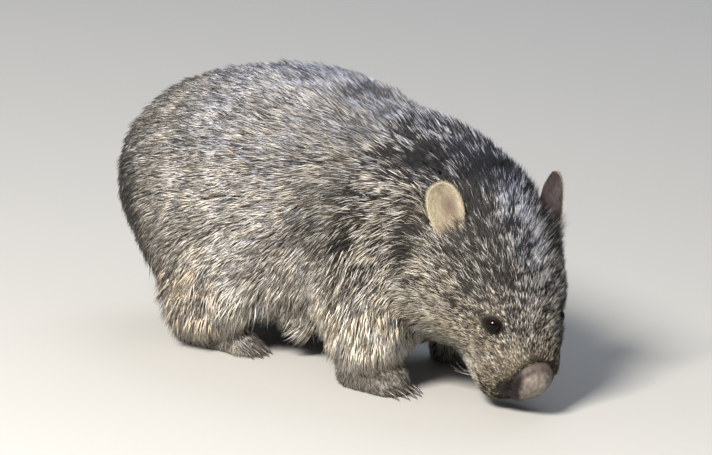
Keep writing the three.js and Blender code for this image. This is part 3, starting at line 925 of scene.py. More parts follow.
def paint(mesh: Mesh, colours: np.ndarray) -> None:
    """Stores a colour for each vertex.

    Args:
        mesh: The mesh.
        colours: Linear red, green and blue, one row each.
    """
    layer = mesh.color_attributes.new(COLOUR_LAYER, "FLOAT_COLOR", "POINT")
    full = np.ones((len(colours), 4), np.float32)
    full[:, :3] = np.clip(colours, 0, 1)
    layer.data.foreach_set("color", full.ravel())


def dress(piece: Object, finish: Finish, slot: Slot, replaced: tuple[str, ...] = ()) -> None:
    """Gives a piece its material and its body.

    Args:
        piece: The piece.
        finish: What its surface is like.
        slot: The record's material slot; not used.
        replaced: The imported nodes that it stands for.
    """
    known = bpy.data.materials.get(finish.name) or finish.material()
    piece.data.materials.clear()
    piece.data.materials.append(known)
    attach(piece, BODY)
    if replaced:
        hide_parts(*replaced)
    log.info("%s: %d faces", piece.name, len(piece.data.polygons))


# The mouth and the skin.


@dataclass(frozen=True)
class Mouth:
    """The line of the closed lips, which rises from its corners to the nose."""

    corner: float = 0.120
    corner_height: float = -0.0315
    slope: float = 0.12
    half_width: float = 0.0014
    cheek: float = 0.09
    nowhere: float = 99.0

    def nearness(self, points: np.ndarray) -> np.ndarray:
        """How far points are from the line: 1 at the lips' edge, and more outside.

        Args:
            points: Places on the body, one row each.

        Returns:
            The distance of each.
        """
        local = in_head(points)
        ahead = local[:, 0] - self.corner
        rise = local[:, 2] - self.corner_height - ahead * self.slope
        far = np.hypot(rise, np.maximum(-ahead, 0)) / self.half_width
        return np.where(local[:, 0] > self.cheek, far, self.nowhere)


@dataclass
class Skin:
    """One skin from the nose to the tail, inside the solids by the depth of the coat."""

    plan: CoatPlan
    markings: Markings
    coarse_voxel: float = 0.006
    fine_voxel: float = 0.0037
    swell: float = 0.0006
    shin_radius: float = 0.036
    shin_height: float = 0.055
    shin_stretch: float = 1.3
    sole_height: float = 0.004
    under_nose: float = 0.010
    lip_groove: float = 0.0022
    under_tone: float = 0.42
    # How dark the skin is by eyes and lips, and between which distances this fades out.
    by_eye: float = 0.15
    eye_fade: tuple[float, float] = (1.0, 1.3)
    in_mouth: float = 0.1
    mouth_fade: tuple[float, float] = (1.2, 3.0)
    # How often the trunk, the whole skin and the finished skin are smoothed.
    trunk_rounds: tuple[int, ...] = (26, 8)
    whole_rounds: int = 5
    last_rounds: int = 3
    # How far each round goes at these heights, which is less at the toes.
    smooth_heights: tuple[float, ...] = (0.0, 0.03, 0.05)
    smooth_shares: tuple[float, ...] = (0.1, 0.3, 0.5)

    def shins(self) -> Object:
        """Short stout columns that carry the flesh down into the feet.

        Returns:
            All four as one object.
        """
        shape = bmesh.new()
        stout = Matrix.Diagonal((1, 1, self.shin_stretch, 1))
        for foot in FEET:
            low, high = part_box(foot)
            along = (low.x * 2 + high.x) / 3 if foot.startswith("hind") else (low.x + high.x) / 2
            place = Matrix.Translation((along, (low.y + high.y) / 2, self.shin_height))
            bmesh.ops.create_uvsphere(
                shape, u_segments=24, v_segments=16, radius=self.shin_radius, matrix=place @ stout
            )
        return object_from("shins", shape)

    def build(self) -> Object:
        """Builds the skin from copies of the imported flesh.

        Returns:
            The skin, dressed.
        """
        skin = copy_of("Skin", ("torso", "neck") + LEGS, self.swell)
        join_into(skin, self.shins())
        remesh(skin, self.coarse_voxel)
        for rounds in self.trunk_rounds:
            self.relax(skin, rounds)
            remesh(skin, self.coarse_voxel)
            keep_largest(skin)
        ends = ("head", "lower_jaw", "tail", "nose_pad", "eye_right", "eye_left") + FEET
        join_into(skin, copy_of("ends", ends, self.swell))
        remesh(skin, self.fine_voxel)
        keep_largest(skin)
        self.relax(skin, self.whole_rounds)
        self.sink(skin)
        remesh(skin, self.fine_voxel)
        keep_largest(skin)
        self.relax(skin, self.last_rounds)
        skin.data.shade_smooth()
        self.colour(skin.data)
        dress(skin, SKIN_FINISH, Slot.COAT, FLESH)
        return skin

    def relax(self, piece: Object, rounds: int) -> None:
        """Smooths a piece, and its toes less than the rest.

        Args:
            piece: The piece.
            rounds: How many times this is done.
        """
        points = points_of(piece.data)
        share = np.interp(points[:, 2], self.smooth_heights, self.smooth_shares)
        moved = relaxed(points, edges_of(piece.data), rounds, share)
        moved[:, 2] = np.maximum(moved[:, 2], 0)
        set_points(piece.data, moved)

    def sink(self, piece: Object) -> None:
        """Moves the surface in by the coat's depth, except under the soles.

        Args:
            piece: The skin.
        """
        points, normals = points_of(piece.data), normals_of(piece.data)
        _, hair = self.plan.at(points)
        depth = hair["depth"] + NosePad().bareness(points) * self.under_nose
        depth += np.exp(-((Mouth().nearness(points) / 2) ** 2)) * self.lip_groove
        sunk = points - normals * depth[:, None]
        sole = points[:, 2] < self.sole_height
        sunk[sole, 2] = points[sole, 2]
        set_points(piece.data, sunk)

    def colour(self, mesh: Mesh) -> None:
        """Paints the skin as the coat above it, but darker, and darkest by eyes and lips.

        Args:
            mesh: The skin's mesh.
        """
        points = points_of(mesh)
        _, hair = self.plan.at(points)
        tone, hue = self.markings.at(points, hair["tone"], hair["warmth"])
        for side in SIDES:
            tone *= ramp(Eye(side).nearness(points), *self.eye_fade, self.by_eye, 1.0)
        tone *= ramp(Mouth().nearness(points), *self.mouth_fade, self.in_mouth, 1.0)
        paint(mesh, hue * tone[:, None] * self.under_tone)


# The coat.


@dataclass
class Roots:
    """Where tufts stand: their places, the skin's facing, and their places on the unwrap."""

    places: np.ndarray
    facings: np.ndarray
    patches: np.ndarray

    def kept(self, keep: np.ndarray) -> Roots:
        """Only some of the roots."""
        return Roots(self.places[keep], self.facings[keep], self.patches[keep])


SEAM_ANGLE = math.radians(66)
ISLAND_MARGIN = 0.004


def unwrapped(points: np.ndarray, triangles: np.ndarray) -> np.ndarray:
    """Unwraps a part of the skin by its own shape.

    Args:
        points: Places of its vertices.
        triangles: The three vertices of each triangle.

    Returns:
        The three corners of each triangle on the unwrap.
    """
    used, numbers = np.unique(triangles, return_inverse=True)
    mesh = bpy.data.meshes.new("unwrap")
    mesh.from_pydata(points[used].tolist(), [], numbers.reshape(-1, 3).tolist())
    mesh.update()
    piece = new_object("unwrap", mesh)
    bpy.context.view_layer.objects.active = piece
    piece.select_set(True)
    bpy.ops.object.mode_set(mode="EDIT")
    bpy.ops.mesh.select_all(action="SELECT")
    bpy.ops.uv.smart_project(angle_limit=SEAM_ANGLE, island_margin=ISLAND_MARGIN)
    bpy.ops.object.mode_set(mode="OBJECT")
    flat = rows_of(mesh.uv_layers[0].data, "uv", 2)
    bpy.data.objects.remove(piece)
    bpy.data.meshes.remove(mesh)
    return flat.reshape(-1, 3, 2)


def spread_roots(
    mesh: Mesh, triangles: np.ndarray, spacing: np.ndarray, rng: np.random.Generator
) -> Roots:
    """Spreads roots evenly over a part of a mesh.

    Args:
        mesh: The mesh.
        triangles: The three vertices of each triangle of the part.
        spacing: How far apart the roots are in each triangle.
        rng: The seeded source of chance.

    Returns:
        The roots.
    """
    points, normals = points_of(mesh).astype(float), normals_of(mesh).astype(float)
    corners = points[triangles]
    first, second = corners[:, 1] - corners[:, 0], corners[:, 2] - corners[:, 0]
    area = np.linalg.norm(np.cross(first, second), axis=1) / 2
    wanted = np.cumsum(area / spacing**2)
    count = int(wanted[-1])
    picks = np.searchsorted(wanted, np.arange(count) + rng.random(count))
    picks = np.minimum(picks, len(triangles) - 1)
    u, v = rng.random((2, count, 1))
    over = (u + v) > 1
    u, v = np.where(over, 1 - u, u), np.where(over, 1 - v, v)
    shares = np.concatenate([1 - u - v, u, v], axis=1)[:, :, None]
    unwrap = unwrapped(points, triangles)
    places = (corners[picks] * shares).sum(axis=1)
    facings = unit((normals[triangles[picks]] * shares).sum(axis=1))
    return Roots(places, facings, (unwrap[picks] * shares).sum(axis=1))


def root_rings(across: np.ndarray, up: np.ndarray, rng: np.random.Generator) -> np.ndarray:
    """Three directions round each root, turned by chance.

    Args:
        across: The way across each tuft.
        up: The skin's facing.
        rng: The seeded source of chance.

    Returns:
        Three directions of length 1 for each root.
    """
    roll = rng.uniform(0, 2 * math.pi, (len(up), 1)) + np.arange(3) * (2 * math.pi / 3)
    roll = roll[:, :, None]
    return across[:, None, :] * np.cos(roll) + up[:, None, :] * np.sin(roll)


@dataclass
class Tufts:
    """Builds tufts as one mesh: thin, tapered, three-sided, straight or bent once."""

    # The size of a tuft on the unwrap, and the width of its root and its height as shares of it.
    patch: float = 0.003
    patch_width: float = 0.25
    patch_height: float = 0.5

    def corners(self, rings: int) -> list[tuple[int, ...]]:
        """The faces of one tuft with this many rings, from its root to its tip.

        Args:
            rings: How many rings it has.

        Returns:
            The corners of each face.
        """
        faces: list[tuple[int, ...]] = [(2, 1, 0)]
        for ring in range(rings):
            for side in range(3):
                a, b = ring * 3 + side, ring * 3 + (side + 1) % 3
                faces.append((a, b, rings * 3) if ring == rings - 1 else (a, b, b + 3, a + 3))
        return faces

    def mesh(
        self, name: str, points: np.ndarray, colours: np.ndarray, patches: np.ndarray
    ) -> Mesh:
        """Joins tufts into one mesh with their colours and their places on the unwrap.

        Args:
            name: The mesh's name.
            points: For each tuft its rings of three points and its tip.
            colours: A colour for each of these.
            patches: For each tuft its place on the unwrap.

        Returns:
            The mesh.
        """
        count, each = points.shape[:2]
        rings = each // 3
        faces = self.corners(rings)
        one = np.concatenate([np.array(corner) for corner in faces])
        sizes = np.array([len(corner) for corner in faces])
        loops = (one[None, :] + (np.arange(count) * each)[:, None]).ravel()
        starts = np.concatenate([[0], np.cumsum(np.tile(sizes, count))[:-1]])
        mesh = bpy.data.meshes.new(name)
        mesh.vertices.add(count * each)
        mesh.vertices.foreach_set("co", points.astype(np.float32).ravel())
        mesh.loops.add(len(loops))
        mesh.loops.foreach_set("vertex_index", loops.astype(np.int32))
        mesh.polygons.add(count * len(faces))
        mesh.polygons.foreach_set("loop_start", starts.astype(np.int32))
        mesh.update(calc_edges=True)
        mesh.shade_smooth()
        paint(mesh, colours.reshape(-1, 3))
        rise = np.arange(each) // 3 / rings
        turn = (np.arange(each) % 3) * (2 * math.pi / 3)
        spread = (1 - rise) * self.patch_width
        upward = np.sin(turn) * spread + rise * self.patch_height
        within = np.stack([np.cos(turn) * spread, upward], axis=1) * self.patch
        flat = (patches[:, None, :] + within[None, one, :]).reshape(-1)
        layer = mesh.uv_layers.new(name="OFBake")
        layer.data.foreach_set("uv", flat.astype(np.float32))
        return mesh


@dataclass(frozen=True)
class Shape:
    """How one layer of tufts is made.

    Args:
        bent: Whether each tuft has a bend in its middle.
        untidy: How far the tufts stray from the lie of the coat.
        clumping: How far their tips come together.
        long: Their length as a share of the plan's.
        sparse: Their spacing as a share of the plan's.
        flat: How much flatter they lie, in degrees.
        contrast: How strongly light and dark tufts differ.
    """

    bent: bool
    untidy: float
    clumping: float = 0.42
    long: float = 1.0
    sparse: float = 1.0
    flat: float = 0.0
    contrast: float = 0.72


GUARD_HAIR = Shape(True, 0.19)
UNDER_HAIR = Shape(False, 0.22, 0.3, 0.8, 0.84, 10.0)
MANE_HAIR = Shape(True, 0.22, contrast=1.1)
SHORT_HAIR = Shape(False, 0.34, 0.34, contrast=1.2)


@dataclass(frozen=True)
class Borders:
    """Where one region of the coat ends and the next starts, in metres.

    The head's borders are along its own axes, and the others along the body's.
    """

    nape: float = -0.05
    throat: float = 0.0
    under_throat: float = -0.02
    brow: float = 0.075
    jowl: float = 0.11
    chin: float = -0.12
    head_start: float = 0.13
    foot_top: float = 0.028
    leg_top: float = 0.1
    shoulder: float = 0.08
    hip: float = -0.13


@dataclass(frozen=True)
class Chances:
    """How much tufts differ, each number as a share or, where it is an angle, in degrees."""

    clump_swirl: float = 0.5
    clump_length: float = 0.24
    clump_lift: float = 0.4
    clump_warmth: float = 0.5
    clump_kind: float = 0.5
    length: tuple[float, float] = (0.75, 1.15)
    lift: float = 5.0
    sideways: float = 0.05
    gathered: tuple[float, float] = (0.5, 1.2)
    width: tuple[float, float] = (0.75, 1.25)
    warmth: float = 0.15
    darkened: float = 0.9
    tip: tuple[float, float] = (0.85, 1.2)


@dataclass
class Coat:
    """The coat over the whole skin, in pieces by region."""

    plan: CoatPlan
    markings: Markings
    seed: int = 11
    root_sink: float = 0.0012
    floor_clearance: float = 0.0008
    sole_height: float = 0.004
    clump_size: float = 0.0016
    clump_surplus: float = 1.2
    middle_gathered: float = 0.4
    middle_width: float = 0.8
    least_tip: float = 0.8
    # A facing under which a root looks down, and how bare the nose may be under hair.
    facing_down: float = -0.5
    least_bare: float = 0.5
    # How long tufts are at these distances from an eye, and the limits of this by an ear.
    eye_distances: tuple[float, ...] = (1.0, 1.25, 1.8)
    eye_shares: tuple[float, ...] = (0.3, 0.5, 1.0)
    ear_shares: tuple[float, float] = (0.1, 1.5)
    # The power of dark tones without contrast, and how much full contrast takes off it.
    tone_power: float = 1.1
    contrast_power: float = 0.8
    borders: Borders = field(default_factory=Borders)
    chances: Chances = field(default_factory=Chances)
    tufts: Tufts = field(default_factory=Tufts)
    # How light a tuft is at its root, middle and tip, from the darkest kind to the palest: the
    # hair's own bands, with the dark roots and pale tips made stronger as painted shade between
    # hairs and painted highlights on the tips.
    kinds: tuple[float, ...] = (0.0, 0.22, 0.3, 0.5, 0.62, 0.85, 1.0)
    rooted: tuple[float, ...] = (0.1, 0.12, 0.2, 0.25, 0.2, 0.3, 0.35)
    banded: tuple[float, ...] = (0.1, 0.16, 1.3, 1.7, 0.8, 1.3, 1.7)
    tipped: tuple[float, ...] = (0.08, 0.12, 0.25, 0.5, 1.7, 2.2, 2.8)

    def regions(self, points: np.ndarray) -> dict[str, np.ndarray]:
        """Which triangles, by their middles, belong to each piece of the coat.

        Args:
            points: The triangles' middles, one row each.

        Returns:
            For each piece, whether each triangle belongs to it.
        """
        edge = self.borders
        ahead, aside, above = in_head(points).T
        x, y, z = points.T
        head = (ahead > edge.nape) & (x > edge.head_start) & (np.abs(aside) < edge.jowl)
        head &= (above > edge.chin) & ((ahead > edge.throat) | (above > edge.under_throat))
        face_part = head & (ahead > edge.brow)
        foot = ~head & (z < edge.foot_top)
        leg = ~head & ~foot & (z < edge.leg_top)
        neck = ~head & ~foot & ~leg & (x > edge.shoulder)
        trunk = ~(head | foot | leg | neck)
        rump = trunk & (x < edge.hip)
        right_of_head, right = aside < 0, y < 0
        return {
            "face_right": face_part & right_of_head,
            "face_left": face_part & ~right_of_head,
            "head_right": head & ~face_part & right_of_head,
            "head_left": head & ~face_part & ~right_of_head,
            "feet": foot,
            "legs_right": leg & right,
            "legs_left": leg & ~right,
            "neck": neck,
            "flank_right": trunk & ~rump & right,
            "flank_left": trunk & ~rump & ~right,
            "rump_right": rump & right,
            "rump_left": rump & ~right,
        }

    def cleared(self, roots: Roots) -> Roots:
        """Leaves out roots under the soles and ears, on the nose, and in eyes and mouth.

        Args:
            roots: All roots.

        Returns:
            Those that stay.
        """
        places = roots.places
        keep = (places[:, 2] >= self.sole_height) | (roots.facings[:, 2] >= self.facing_down)
        for side in SIDES:
            keep &= Eye(side).nearness(places) > 1
            keep &= Ear(side).nearness(places) > 1
        keep &= NosePad().bareness(places) < self.least_bare
        keep &= Mouth().nearness(places) > 1
        return roots.kept(keep)

    def room(self, places: np.ndarray) -> np.ndarray:
        """How long tufts may be beside the eyes and the ears, as a share.

        Args:
            places: The roots' places.

        Returns:
            The share of each.
        """
        share = np.ones(len(places))
        for side in SIDES:
            by_eye = Eye(side).nearness(places)
            share *= np.interp(by_eye, self.eye_distances, self.eye_shares)
            share *= np.clip(Ear(side).nearness(places) - 1, *self.ear_shares)
        return share

    def grown(
        self, roots: Roots, shape: Shape, rng: np.random.Generator
    ) -> tuple[np.ndarray, np.ndarray]:
        """Grows a tuft on each root.

        Args:
            roots: The roots.
            shape: How the tufts are made.
            rng: The seeded source of chance.

        Returns:
            For each tuft its points, and a colour for each of these.
        """
        count, chances, up = len(roots.places), self.chances, roots.facings
        lies, hair = self.plan.at(roots.places)
        lies = along_skin(lies, up)
        clump, draws = self.clumps(roots.places, hair["clump"], rng)
        chance = draws[clump]
        swirl = rng.normal(0, shape.untidy, (count, 1))
        swirl += (chance[:, :1] - 0.5) * chances.clump_swirl
        along = unit(lies + np.cross(up, lies) * swirl)
        across = np.cross(up, along)
        vigour = rng.uniform(*chances.length, (count, 1))
        vigour *= 1 + (chance[:, 1:2] - 0.5) * chances.clump_length
        length = hair["length"][:, None] * vigour * shape.long * self.room(roots.places)[:, None]
        steep = hair["lift"] * (1 + (chance[:, 2] - 0.5) * chances.clump_lift)
        steep += rng.normal(0, chances.lift, count) - shape.flat
        root = roots.places - up * self.root_sink
        side = across * length * rng.normal(0, chances.sideways, (count, 1))
        halves = []
        for angle in (steep, steep - hair["bend"]):
            rise = np.radians(angle)[:, None]
            halves.append((along * np.cos(rise) + up * np.sin(rise)) * length * 0.5 + side)
        middle = root + halves[0]
        tip = middle + halves[1]
        number = np.maximum(np.bincount(clump, minlength=len(draws)), 1)[:, None]
        tighter = shape.clumping * self.middle_gathered
        for points, share in ((middle, tighter), (tip, shape.clumping)):
            total = [np.bincount(clump, points[:, axis], len(draws)) for axis in range(3)]
            towards = (np.stack(total, axis=1) / number)[clump] - points
            points += towards * share * rng.uniform(*chances.gathered, (count, 1))
            points[:, 2] = np.maximum(points[:, 2], self.floor_clearance)
        half = hair["width"][:, None, None] / 2 * rng.uniform(*chances.width, (count, 1, 1))
        ring = root_rings(across, up, rng) * half
        rings = [root[:, None, :] + ring]
        if shape.bent:
            rings.append(middle[:, None, :] + ring * self.middle_width)
        points = np.concatenate(rings + [tip[:, None, :]], axis=1)
        points[:, :, 2] = np.maximum(points[:, :, 2], self.floor_clearance)
        return points, self.coloured(roots, hair, chance, shape, rng)

    def clumps(
        self, places: np.ndarray, size: np.ndarray, rng: np.random.Generator
    ) -> tuple[np.ndarray, np.ndarray]:
        """Gathers roots into clumps.

        Args:
            places: The roots' places.
            size: How far apart the clumps are at each.
            rng: The seeded source of chance.

        Returns:
            Each root's clump, and four chances for each clump.
        """
        share = (self.clump_size / float(size.mean())) ** 2
        picked = rng.random(len(places)) < share * self.clump_surplus
        picked[0] = True
        seeds = places[picked]
        tree = KDTree(len(seeds))
        for number, place in enumerate(seeds):
            tree.insert(place, number)
        tree.balance()
        clump = np.array([tree.find(place)[1] for place in places])
        return clump, rng.random((len(seeds), 4))

    def coloured(
        self,
        roots: Roots,
        hair: dict[str, np.ndarray],
        chance: np.ndarray,
        shape: Shape,
        rng: np.random.Generator,
    ) -> np.ndarray:
        """Colours each tuft: dark at its root, then pale, banded, or dark throughout.

        Args:
            roots: The roots.
            hair: The plan's values at each.
            chance: The four chances of each root's clump.
            shape: How the tufts are made.
            rng: The seeded source of chance.

        Returns:
            A colour for each point of each tuft.
        """
        count, chances = len(roots.places), self.chances
        warmth = hair["warmth"] + (chance[:, 2] - 0.5) * chances.clump_warmth
        warmth = warmth + rng.normal(0, chances.warmth, count)
        tone, hue = self.markings.at(roots.places, hair["tone"], warmth)
        softened = tone ** (self.tone_power - self.contrast_power * shape.contrast)
        base = hue * np.where(tone < 1, softened, tone)[:, None]
        draw = np.clip(rng.random(count) + (chance[:, 3] - 0.5) * chances.clump_kind, 0, 1)
        threshold = (1 - tone) * chances.darkened
        darkened = rng.random(count) * 0.5 + chance[:, 0] * 0.5 < threshold
        draw = np.where(darkened, draw * self.kinds[1], draw)
        levels = []
        for values in (self.rooted, self.banded, self.tipped):
            usual = float(np.mean(values))
            level = usual + (np.interp(draw, self.kinds, values) - usual) * shape.contrast
            levels.append(np.maximum(level, values[0])[:, None])
        steps = [base * levels[0]] * 3
        if shape.bent:
            steps += [base * levels[1]] * 3
        else:
            levels[2] = np.maximum(levels[2], levels[1] * self.least_tip)
        steps.append(base * levels[2] * rng.uniform(*chances.tip, (count, 1)))
        return np.stack(steps, axis=1)

    def build(self, skin: Object) -> None:
        """Builds every piece of the coat over the skin.

        Args:
            skin: The skin.
        """
        triangles = triangles_of(skin.data)
        middles = points_of(skin.data).astype(float)[triangles].mean(axis=1)
        for number, (name, inside) in enumerate(self.regions(middles).items()):
            rng = np.random.default_rng(self.seed + number)
            _, hair = self.plan.at(middles[inside])
            region = name.split("_")[0]
            short = region in ("face", "head", "feet")
            over = SHORT_HAIR if short else MANE_HAIR if region == "neck" else GUARD_HAIR
            layers = {"coat_": over}
            if region in ("flank", "rump", "neck"):
                layers["undercoat_"] = UNDER_HAIR
            for kind, shape in layers.items():
                spacing = hair["spacing"] * shape.sparse
                spread = spread_roots(skin.data, triangles[inside], spacing, rng)
                roots = self.cleared(spread)
                grown, colours = self.grown(roots, shape, rng)
                mesh = self.tufts.mesh(kind + name, grown, colours, roots.patches)
                slot = Slot.PALE_COAT if region == "feet" else Slot.COAT
                dress(new_object(mesh.name, mesh), COAT_FINISH, slot)


# Eyes and lids.


@dataclass(frozen=True)
class LidLoop:
    """One loop of the lids. Its sizes are in millimetres.

    Args:
        half_width: From its middle to a corner of the eye.
        half_height: From its middle to the brow or the cheek.
        lowest: Its least height over the eyeball's middle.
        above: Its height above the eyeball, or None where it lies beside it.
    """

    half_width: float
    half_height: float
    lowest: float
    above: float | None = None


# From the coat in over the eyeball and back under the skin.
LID_LOOPS = (
    LidLoop(20.0, 15.5, -5.0),
    LidLoop(17.5, 12.8, -0.8),
    LidLoop(15.0, 10.6, 1.2, 0.0),
    LidLoop(13.0, 9.0, 2.6, 1.2),
    LidLoop(11.6, 8.0, 2.8, 1.3),
    LidLoop(10.4, 7.3, 2.4, 0.7),
    LidLoop(9.8, 6.9, 1.4, 0.1),
    LidLoop(9.9, 7.4, -2.0, -1.2),
)


@dataclass
class Eye:
    """One eye with its lids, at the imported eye's place and size.

    The directions are the left eye's, along the head's own axes; the right eye mirrors it.
    """

    side: str
    aim: Triple = (0.4, 0.62, 0.6)
    inner_corner: Triple = (1.0, -0.37, 0.7)
    larger: float = 1.07
    segments: int = 48
    # How far pupil and iris reach from the middle, and how soft their edges are, in degrees.
    pupil_angle: float = 21.0
    pupil_edge: float = 3.0
    iris_angle: float = 52.0
    iris_edge: float = 5.0
    bulge: float = 0.0004
    # Half width and half height of the opening in the coat, and how deep it goes.
    opening: tuple[float, float] = (0.0124, 0.0090)
    opening_depth: float = 0.008
    nowhere: float = 9.0
    almond: float = 1.25
    lower_lid: float = 0.84
    white: Triple = (0.012, 0.007, 0.006)
    iris: Triple = (0.007, 0.0035, 0.0025)
    pupil: Triple = (0.002, 0.002, 0.002)

    def pose(self) -> Matrix:
        """The eye's own axes: +X to the inner corner, +Y to the brow and +Z out of the eye.

        Returns:
            The axes and the eye's middle.
        """
        mirror = Vector((1, SIDES[self.side], 1))
        out = Vector(self.aim).normalized()
        corner = Vector(self.inner_corner)
        corner = (corner - out * corner.dot(out)).normalized()
        ways = (corner, corner.cross(out), out)
        turn = Matrix([head_pose.to_3x3() @ (way * mirror) for way in ways]).transposed()
        return Matrix.Translation(middle_of("eye_" + self.side)) @ turn.to_4x4()

    def nearness(self, points: np.ndarray) -> np.ndarray:
        """How far points are from the middle of the opening: 1 at its edge, more outside.

        Args:
            points: Places on the body, one row each.

        Returns:
            The distance of each.
        """
        local = seen_from(self.pose(), points)
        far = np.hypot(local[:, 0] / self.opening[0], local[:, 1] / self.opening[1])
        return np.where(local[:, 2] > -self.opening_depth, far, self.nowhere)

    @property
    def radius(self) -> float:
        """The eyeball's radius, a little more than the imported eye's."""
        low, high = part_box("eye_" + self.side)
        return (high.z - low.z) / 2 * self.larger

    def ball(self) -> None:
        """Builds the eyeball with a slight bulge over the iris."""
        shape, radius = bmesh.new(), self.radius
        bmesh.ops.create_uvsphere(
            shape, u_segments=self.segments, v_segments=self.segments, radius=radius
        )
        angles = [math.degrees(vert.co.angle(Vector((0, 0, 1)))) for vert in shape.verts]
        for vert, angle in zip(shape.verts, angles):
            if angle < self.iris_angle:
                rise = math.cos(math.radians(angle * 90 / self.iris_angle))
                vert.co *= 1 + self.bulge / radius * rise
        bmesh.ops.transform(shape, matrix=self.pose(), verts=shape.verts)
        piece = object_from("eyeball_" + self.side, shape)
        pupil_end, iris_end = self.pupil_angle + self.pupil_edge, self.iris_angle + self.iris_edge
        edges = (0, self.pupil_angle, pupil_end, self.iris_angle, iris_end, 180)
        shades = (self.pupil, self.pupil, self.iris, self.iris, self.white, self.white)
        colours = [np.interp(angles, edges, levels) for levels in zip(*shades)]
        paint(piece.data, np.stack(colours, axis=1))
        dress(piece, EYE_FINISH, Slot.EYE, ("eye_" + self.side,))

    def lid_point(self, lid: LidLoop, point: Vector) -> Vector:
        """Where a point of a circle goes on a loop of the lids.

        Args:
            lid: The loop.
            point: The point, on a circle of radius 1.

        Returns:
            Its place in the eye's own axes, on an almond that lies on the eyeball or beside it.
        """
        turn = math.atan2(point.y, point.x)
        rise = math.copysign(abs(math.sin(turn)) ** self.almond, math.sin(turn))
        x = math.cos(turn) * lid.half_width
        y = rise * lid.half_height * (1.0 if rise > 0 else self.lower_lid)
        level = lid.lowest
        if lid.above is not None:
            reach = self.radius / MM + lid.above
            level = max(math.sqrt(max(reach * reach - x * x - y * y, 0)), lid.lowest)
        return Vector((x, y, level)) * MM

    def lids(self) -> None:
        """Builds the two lids as one dark fold round the almond opening."""
        shape = bmesh.new()
        loops = [add_loop(shape, self.segments, partial(self.lid_point, lid)) for lid in LID_LOOPS]
        for first, second in zip(loops, loops[1:] + loops[:1]):
            bmesh.ops.bridge_loops(shape, edges=first + second)
        bmesh.ops.transform(shape, matrix=self.pose(), verts=shape.verts)
        piece = object_from("lids_" + self.side, shape)
        add_subdivision(piece)
        dress(piece, LID_FINISH, Slot.COAT)


# Nose.


@dataclass(frozen=True)
class Hollow:
    """A dent in the nose, and in its mirror image: place, radii, depth, and the painted shade in
    it.
    """

    place: Triple
    radii: Triple
    depth: float
    painted_shade: float = 1.0


